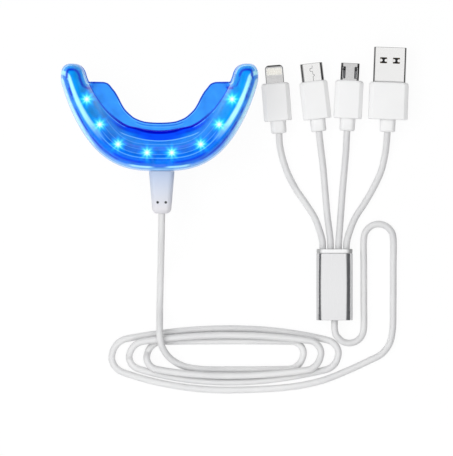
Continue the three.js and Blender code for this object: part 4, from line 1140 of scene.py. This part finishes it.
def makeEightPin(name, plug, s, root, nose, place):
    def across(inset):
        thin = s["tipThinning"] * min(inset, 1)
        return roundedOutline(s["width"] - 2 * inset, s["thickness"] - 2 * thin, s["edge"], steps=5)

    rows = [(root, across(0))]
    for fromSide, fromEnd in quarterTurn(12):
        rows.append((nose - s["tipCorner"] * fromSide, across(s["tipCorner"] * fromEnd)))
    mesh = loftMesh(rowLoops(rows, place), sharpAngle=40)
    tab = addPiece(f"{name}_tab", mesh, satinSteel, "plated_steel", f"{plug['node']}_tab")
    middle = nose - s["windowFromTip"] - s["windowLength"] / 2
    hole = rectangle(0, middle, s["windowWidth"], s["windowLength"], s["windowCorner"])
    cutPiece(tab, [plateMesh(hole, -2 * cutOver, 2 * cutOver, place)])
    gap, face = 2 * s["insertGap"], s["thickness"] / 2
    inside = rectangle(0, middle, s["windowWidth"] - gap, s["windowLength"] - gap, s["windowCorner"])
    high = face - s["insertSunk"]
    mesh = plateMesh(inside, -high, high, place, s["insertEdge"])
    insert = addPiece(f"{name}_insert", mesh, paleInsulator, "white_plastic", f"{plug['node']}_contacts")
    pieces = [tab, insert]
    for row, flip in (("face", 1), ("back", -1)):
        low, high = sorted((flip * (face - s["padFoot"]), flip * (face - s["padSunk"])))
        for i in range(s["padCount"]):
            x = s["padPitch"] * (i - (s["padCount"] - 1) / 2)
            outline = rectangle(x, middle, s["padWidth"], s["padLength"], s["padCorner"], steps=3)
            pad = plateMesh(outline, low, high, place, s["padEdge"])
            pieces.append(addPiece(f"{name}_pad_{row}_{i + 1}", pad, goldPlate, "gold_contacts"))
    gap = gripSet["pocketGap"]
    pocket = roundedOutline(s["width"] + 2 * gap, s["thickness"] + 2 * gap, s["edge"] + gap, steps=5)
    return pocket, pieces


def makeTypeC(name, plug, s, root, nose, place):
    def outer(inset):
        thickness = s["thickness"] - 2 * inset
        return roundedOutline(s["width"] - 2 * inset, thickness, s["thickness"] / 2 - inset, steps=12)

    shell = addShell(name, plug, outer, root, nose, place, nickelPlate)
    # Seam where the rolled sheet meets: a dovetail half way along
    start = nose - s["length"]
    line = [Vector(spot) for spot in smoothLine([(x, start + y) for x, y in s["seam"]], 3)]
    top, reach = s["thickness"] / 2, s["seamWidth"] / 2
    grooves = []
    for a, b in zip(line, line[1:]):
        along = (b - a).normalized() * reach
        out = Vector((-along.y, along.x))
        corners = [a - along - out, b + along - out, b + along + out, a - along + out]
        low, high = top - s["wall"] - s["seamBelow"], top + s["seamAbove"]
        grooves.append(plateMesh([(p.x, p.y) for p in corners], low, high, place))
    cutPiece(shell, grooves)
    return outer(-gripSet["pocketGap"]), [shell, f"{plug['node']}_core"]


def makeMicroB(name, plug, s, root, nose, place):
    def outer(inset):
        x, z, cut = s["width"] / 2 - inset, s["thickness"] / 2 - inset, s["chamfer"] - inset / 2
        corners = [(x, -z), (x, z - cut), (x - cut, z), (cut - x, z), (-x, z - cut), (-x, -z)]
        return softPolygon(corners, s["edge"])

    shell = addShell(name, plug, outer, root, nose, place, satinSteel)
    top = s["thickness"] / 2
    middle = nose - s["slotFromNose"] - s["slotLength"] / 2
    # Spring arm that lies low in its slot and ends in a rounded hook that stands proud
    length, rise, hook, sunk = s["latchLength"], s["hookRise"], s["hookLength"], s["latchSunk"]
    profile = smoothLine([
        (0, -sunk), (length * 0.4, -sunk), (length - hook - 0.15, 0.1 - sunk), (length - hook, -0.1),
        (length - hook * 0.72, rise), (length - hook * 0.35, rise * 0.9), (length, -0.05),
    ], 4)
    wide = s["latchWidth"] / 2
    flat, edgeDown = wide - s["latchEdgeIn"], s["latchEdgeDown"]
    slots, latches = [], []
    for sideName, side in (("left", -1), ("right", 1)):
        centre = side * s["slotPitch"] / 2
        slot = rectangle(centre, middle, s["slotWidth"], s["slotLength"], s["slotCorner"])
        slots.append(plateMesh(slot, top - cutOver / 2, top + cutOver / 2, place))
        loops = []
        for along, height in profile:
            foot, rim = min(height, 0) - s["latchThickness"], height - edgeDown
            section = [
                (-wide, rim), (-flat, height), (flat, height), (wide, rim), (wide, foot), (-wide, foot),
            ]
            y = middle - length / 2 + along
            loops.append(inPlace(place, [(centre + x, y, top + z) for x, z in section]))
        latches.append(addPiece(
            f"{name}_latch_{sideName}", loftMesh(loops), slotShadedSteel, "plated_steel",
            f"{plug['node']}_latch_{sideName}", body=f"latch_{sideName}",
        ))
    cutPiece(shell, slots, s["slotEdge"])
    return outer(-gripSet["pocketGap"]), [shell, f"{plug['node']}_tongue", *latches]


def makeTypeA(name, plug, s, root, nose, place):
    def outer(inset):
        thickness = s["thickness"] - 2 * inset
        return roundedOutline(s["width"] - 2 * inset, thickness, s["corner"] - inset * 0.9, steps=8)

    shell = addShell(name, plug, outer, root, nose, place, nickelPlate)
    top, middle = s["thickness"] / 2, nose - s["windowFromNose"]
    windows, pieces = [], [shell]
    for i, side in enumerate((-1, 1)):
        centre = side * s["windowPitch"] / 2
        window = rectangle(centre, middle, s["windowWidth"], s["windowLength"], s["windowCorner"])
        windows.append(plateMesh(window, -top - cutOver, top + cutOver, place))
        for k, toward in enumerate((-1, 1)):
            # Formed tabs at the two ends of a window, rounded towards its middle
            x = centre + toward * s["windowWidth"] / 2
            reach, wide = s["tabWidth"], s["tabLength"] / 2
            rootX, steps = x + toward * s["tabLap"], s["tabSteps"]
            outline = [(rootX, middle - wide), (rootX, middle + wide)]
            for step in range(steps + 1):
                angle = math.pi / 2 - math.pi * step / steps
                out = reach - wide + wide * math.cos(angle)
                outline.append((x - toward * out, middle + wide * math.sin(angle)))
            tab = plateMesh(outline, top - s["tabFoot"], top - s["tabSunk"], place, s["tabEdge"])
            pieces.append(addPiece(f"{name}_tab_{i + 1}_{k + 1}", tab, nickelPlate, "plated_steel"))
    cutPiece(shell, windows, s["windowEdge"])
    # Tongue that carries the four contacts, its front edge rounded
    low, high, corner = s["tongueLow"], s["tongueHigh"], s["tongueCorner"]
    width, depth, edge = s["width"] - 2 * s["wall"] - 2 * s["tongueGap"], high - low, s["tongueEdge"]
    rows = [(root, roundedOutline(width, depth, corner, steps=3))]
    for fromSide, fromEnd in quarterTurn(4):
        inset = edge * fromEnd
        y = nose - s["tongueSetBack"] - edge * fromSide
        rows.append((y, roundedOutline(width - 2 * inset, depth - 2 * inset, corner, steps=3)))
    lowered = place @ Matrix.Translation((0, 0, (low + high) / 2 * mm))
    tongue = loftMesh(rowLoops(rows, lowered))
    pieces.append(addPiece(f"{name}_tongue", tongue, darkInsulator, "insulator", f"{plug['node']}_tongue"))
    return outer(-gripSet["pocketGap"]), [*pieces, *contacts]


contacts = [f"type_a_contact_{i + 1}" for i in range(4)]
for name, makeEnd in (
    ("eightPin", makeEightPin), ("typeC", makeTypeC), ("microB", makeMicroB), ("typeA", makeTypeA),
):
    plug = plugSet[name]
    turn = Matrix.Rotation(math.radians(plug["heading"] - 90), 4, "Z")
    place = Matrix.Translation((plug["x"] * mm, plug["y"] * mm, plug["thickness"] / 2 * mm)) @ turn
    face = gripSet["reliefLength"] + plug["length"]
    root, nose = face - gripSet["rootSunk"], face + plug["end"]["length"]
    pocket, pieces = makeEnd(name, plug, plug["end"], root, nose, place)
    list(makeHousing(name, plug, face, place, pocket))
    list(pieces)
paintNodes(bareBronze, *contacts, smooth=True)
paintNodes(darkInsulator, "type_c_core", "micro_b_tongue", smooth=True)
print("plugs made")


# Lead and branch cords, on the routes of the CAD model
cordSet = {
    "diameter": 2.5,
    "step": 0.8,  # between the points of the drawn curve
    "hidden": 1.2,  # of each end runs on inside what holds it
}
coilSet = {
    "x": 25.8, "y": -80.2, "startTurn": -0.25, "endTurn": 2.75,
    "halfLength": 27.33, "lengthStep": 6.48, "halfWidths": [5.3, 7.5, 9.9, 12.9],
    "endRadii": [5.1, 5.1, 5.1, 5.6, 5.1, 5.6, 6.5, 7],
    "raisedTurn": 1, "raise": 2.9, "climb": 0.12, "endSag": 0.8, "widthBlend": 0.2,
    "stepsPerTurn": 160, "endCrowding": 1.6,
}
floorZ = cordSet["diameter"] / 2


def outlet(i):  # of a branch, from the splitter
    x = splitterSet["x"] + splitterSet["branchPitch"] * (i - 1.5)
    return (x, splitterSet["y"] + splitterSet["length"] + seat, splitterSet["thickness"] / 2)


def inlet(name):  # of a branch, to its plug
    plug = plugSet[name]
    heading = math.radians(plug["heading"])
    x, y = plug["x"] - seat * math.cos(heading), plug["y"] - seat * math.sin(heading)
    return (x, y, plug["thickness"] / 2)


# Points in millimetres. Where one has no height, the cord lies on the table
leadRoute = [
    (bootRoot.x, bootRoot.y - bootSet["length"], bootRoot.z),
    (0.75, -32, 12.2), (0.65, -37, 10.5), (0.5, -42.5, 7), (0.35, -48, 3.4),
    (0.2, -53.5, 1.5), (0.1, -58, 1.3), (0, -62, 2.1), (0, -66, 4.2), (0, -69.5, 6.1),
    (0, -72.5, 7.1), (0.35, -75.3, 6.9), (1.3, -77.8, 5.6), (3, -80.4, 4), (5.6, -82.6, 2.4),
    (9.2, -84.3, 1.45), (14, -85.2), (20, -85.5),
    (coilSet["x"] - seat, coilSet["y"] - coilSet["halfWidths"][0]),
]
tailRoute = [
    (coilSet["x"] + seat, coilSet["y"] - coilSet["halfWidths"][3]), (34, -92.9), (44.5, -92.3),
    (53, -91.2), (61.2, -89.2), (69.4, -85.9), (77.2, -82.3), (82, -79.8), (84.9, -76.2), (86.1, -71.4),
    (86.4, -60.3), (86.45, -48), (86.45, -37.1), (86, -34.9), (84.8, -33.15), (83.05, -32), (81, -31.6),
    (78.95, -32), (77.2, -33.15), (76, -34.9), (75.55, -37.1), (75.55, -48), (75.55, -60),
    (75.52, -70.2), (75.1, -72.3), (73.95, -74.1, 1.35), (72.2, -75.25, 1.5), (70.1, -75.65, 1.8),
    (68, -75.25, 2.2), (66.35, -74, 2.7), (65.1, -72.3, 3.1), (64.68, -70.2, 3.3),
    (splitterSet["x"], splitterSet["y"] - seat, splitterSet["thickness"] / 2),
]
branchRoutes = {
    "eightPin": [
        (60.2, -38, 3.3), (59.4, -34.8, 2.5), (57.3, -29.2, 1.4), (54.1, -24.1), (50.4, -18.7),
        (47.3, -12.7), (45.3, -6.6, 1.5), (44.4, -2.2, 2.4),
    ],
    "typeC": [
        (63.15, -38, 3.3), (62.8, -34.5, 2.5), (62.1, -29, 1.4), (61.4, -21.6), (60.6, -12),
        (59.8, -5, 1.5), (59.3, -1, 2.6),
    ],
    "microB": [
        (66.25, -38, 3.3), (66.5, -34.5, 2.5), (67, -28, 1.4), (67.6, -20), (68.3, -12),
        (68.9, -5, 1.5), (69.1, -0.8, 2.6),
    ],
    "typeA": [
        (69.2, -38.2, 3.3), (70.2, -34.6, 2.5), (72.4, -29.2, 1.4), (76, -23.6), (79.4, -17.6),
        (82, -11.8), (83.5, -5.2, 1.5), (84, -0.9, 3),
    ],
}


def throughPoints(route):
    # Smooth curve through the route: centripetal, so that it never loops between two points
    points = [Vector((*spot, floorZ)[:3]) for spot in route]
    points = [points[0] * 2 - points[1], *points, points[-1] * 2 - points[-2]]
    made = []
    for a, b, c, d in zip(points, points[1:], points[2:], points[3:]):
        t1 = (b - a).length ** 0.5
        t2 = t1 + (c - b).length ** 0.5
        t3 = t2 + (d - c).length ** 0.5
        steps = max(2, round((c - b).length / cordSet["step"]))
        for i in range(steps):
            t = between(t1, t2, i / steps)
            ab = a.lerp(b, t / t1)
            bc = b.lerp(c, (t - t1) / (t2 - t1))
            cd = c.lerp(d, (t - t2) / (t3 - t2))
            abc = ab.lerp(bc, t / t2)
            bcd = bc.lerp(cd, (t - t1) / (t3 - t1))
            made.append(abc.lerp(bcd, (t - t1) / (t2 - t1)))
    return [*made, points[-2]]


def coilPoint(turn):
    # A turn is an oval of two end arcs and two long side arcs, and spirals outward. Long and wide
    # are halves of the oval, r is the radius of its end, and quarter the length of a quarter turn
    long = coilSet["halfLength"] + coilSet["lengthStep"] * turn
    widths, radii = coilSet["halfWidths"], coilSet["endRadii"]
    k = max(0, round(turn - 0.5))
    wide = between(widths[k], widths[k + 1], ease((turn - 0.5 - k) / coilSet["widthBlend"] + 0.5))
    end = min(math.floor(2 * turn + 1), len(radii) - 2)
    r = between(radii[end], radii[end + 1], 2 * turn + 1 - end)
    sideRadius = (long**2 + wide**2 - 2 * long * r) / (2 * (wide - r))
    joint = math.atan2(sideRadius - wide, long - r)
    quarter = r * joint + sideRadius * (math.pi / 2 - joint)
    phase = turn % 1 * 4
    fromEnd = (1 - abs(phase % 2 - 1)) ** coilSet["endCrowding"] * quarter
    if fromEnd < r * joint:
        angle = fromEnd / r
        x, y = long - r + r * math.cos(angle), r * math.sin(angle)
    else:
        angle = joint + (fromEnd - r * joint) / sideRadius
        x, y = sideRadius * math.cos(angle), sideRadius * math.sin(angle) - (sideRadius - wide)
    offCentre = abs(turn - coilSet["raisedTurn"])
    lifted = coilSet["raise"] * ease((0.5 + coilSet["climb"] / 2 - offCentre) / coilSet["climb"])
    sagged = coilSet["endSag"] * ease(1 - offCentre / coilSet["climb"])
    # The quarters of a turn mirror the first
    if 1 <= phase < 3:
        x = -x
    if phase >= 2:
        y = -y
    return Vector((coilSet["x"] + x, coilSet["y"] + y, floorZ + lifted - sagged))


def coilPoints():
    start, end = coilSet["startTurn"], coilSet["endTurn"]
    steps = round((end - start) * coilSet["stepsPerTurn"])
    apart = [coilPoint(start)]
    for i in range(1, steps + 1):
        point = coilPoint(between(start, end, i / steps))
        if (point - apart[-1]).length > cordSet["step"] / 2:
            apart.append(point)
    return apart


def addCord(name, points, nodes):
    # The drawn line runs on a little inside what holds its two ends
    first = points[0] + (points[0] - points[1]).normalized() * cordSet["hidden"]
    last = points[-1] + (points[-1] - points[-2]).normalized() * cordSet["hidden"]
    line = [first, *points, last]
    data = bpy.data.curves.new(name, "CURVE")
    data.dimensions = "3D"
    data.bevel_depth, data.bevel_resolution = cordSet["diameter"] / 2 * mm, 6
    data.use_fill_caps = True
    spline = data.splines.new("POLY")
    spline.points.add(len(line) - 1)
    for point, place in zip(spline.points, line):
        point.co = (*(place * mm), 1)
    spline.use_smooth = True
    piece = addPiece(name, data, cordRubber, "white_rubber", *nodes)
    length = sum((b - a).length for a, b in zip(line, line[1:])) * mm
    print(name, "is", round(length / mm, 1), "mm long")


mainLine = [*throughPoints(leadRoute)[:-1], *coilPoints(), *throughPoints(tailRoute)[1:]]
addCord("lead_cord", mainLine, ["cord_lead", "cord_coil", "cord_tail"])
for i, (name, route) in enumerate(branchRoutes.items()):
    line = throughPoints([outlet(i), *route, inlet(name)])
    addCord(f"{name}_cord", line, [f"branch_{plugSet[name]['node']}"])
print("cords made")


# Studio: white table, soft light from above and the left
studio = {
    "tableSize": 3, "tableGrey": "#f8f8f8", "tableGlow": 0.93, "tableDrop": 0.0001,
    "zenith": "#f1f1f1", "ring": "#ffffff", "horizon": "#58595b", "worldStrength": 1.1, "lean": 0.22,
    # Size in metres, place, target and watts
    "lamps": {
        "leftSoftbox": (0.5, (-0.5, 0.1, 0.7), (0.02, -0.03, 0), 2),
        "overheadSheet": (2.4, (0.03, -0.03, 0.8), (0.03, -0.03, 0), 9),
        "frontSoftbox": (0.12, (0.01, -0.2, 0.1), (0, -0.08, 0), 0.06),
    },
}


def makeTable():
    bpy.ops.mesh.primitive_plane_add(size=studio["tableSize"], location=(0, 0, -studio["tableDrop"]))
    table = bpy.context.object
    table.name = "table"
    # Painted board: plain and matt, and as bright as the picture's white wherever it is seen
    material, shader, _ = startMaterial("paintedTable", studio["tableGrey"], 0.7)
    path = addNode(material, "LightPath", {}).outputs
    share = path["Is Camera Ray"]
    for ray in ("Is Glossy Ray", "Is Transmission Ray"):
        share = addNode(material, "Math", {0: share, 1: path[ray]}, operation="MAXIMUM")
    share = addNode(material, "Math", {0: share, 1: studio["tableGlow"]}, operation="MULTIPLY")
    white = addNode(material, "Emission", {"Color": (1, 1, 1, 1), "Strength": 1})
    output = next(node for node in material.node_tree.nodes if node.type == "OUTPUT_MATERIAL")
    linkTo(material, output, {"Surface": addNode(material, "MixShader", {0: share, 1: shader, 2: white})})
    table.data.materials.append(material)


def makeWorld():
    world = bpy.data.worlds.new("studio")
    world.use_nodes = True
    bpy.context.scene.world = world
    place = addNode(world, "TexCoord", {}).outputs["Generated"]
    # Bright overhead and dark round the sides, and brighter from the left than from the right
    leaned = addNode(world, "VectorMath", {0: place, 1: (-studio["lean"], 0, 1)}, operation="DOT_PRODUCT")
    sky = setStops(addNode(world, "ValToRGB", {"Fac": leaned}), [
        (0, studio["horizon"]), (0.72, studio["horizon"]), (0.8, studio["ring"]), (0.88, studio["zenith"]),
    ])
    linkTo(world, world.node_tree.nodes["Background"], {"Color": sky, "Strength": studio["worldStrength"]})


def addLamp(name, size, place, target, energy):
    data = bpy.data.lights.new(name, "AREA")
    data.size, data.energy = size, energy
    lamp = bpy.data.objects.new(name, data)
    bpy.context.scene.collection.objects.link(lamp)
    lamp.location = place
    lamp.rotation_euler = (Vector(target) - Vector(place)).to_track_quat("-Z", "Y").to_euler()
    lamp.visible_camera = lamp.visible_glossy = False


# The tray's own light is kept to the tray, its board and the boot
nearTray = bpy.data.collections.new("nearTray")
for thing in bpy.data.objects:
    if thing.name.startswith(("clearTray", "lightBoard", "chip_", "boot_moulding", "boot_spigot")):
        nearTray.objects.link(thing)
        if thing.name == "clearTray" or thing.name.endswith("_lens"):
            thing.light_linking.receiver_collection = nearTray
            thing.visible_diffuse = thing.visible_glossy = False

makeTable()
makeWorld()
for name, lamp in studio["lamps"].items():
    addLamp(name, *lamp)
bpy.context.scene.view_settings.view_transform = "Standard"
print("studio made")
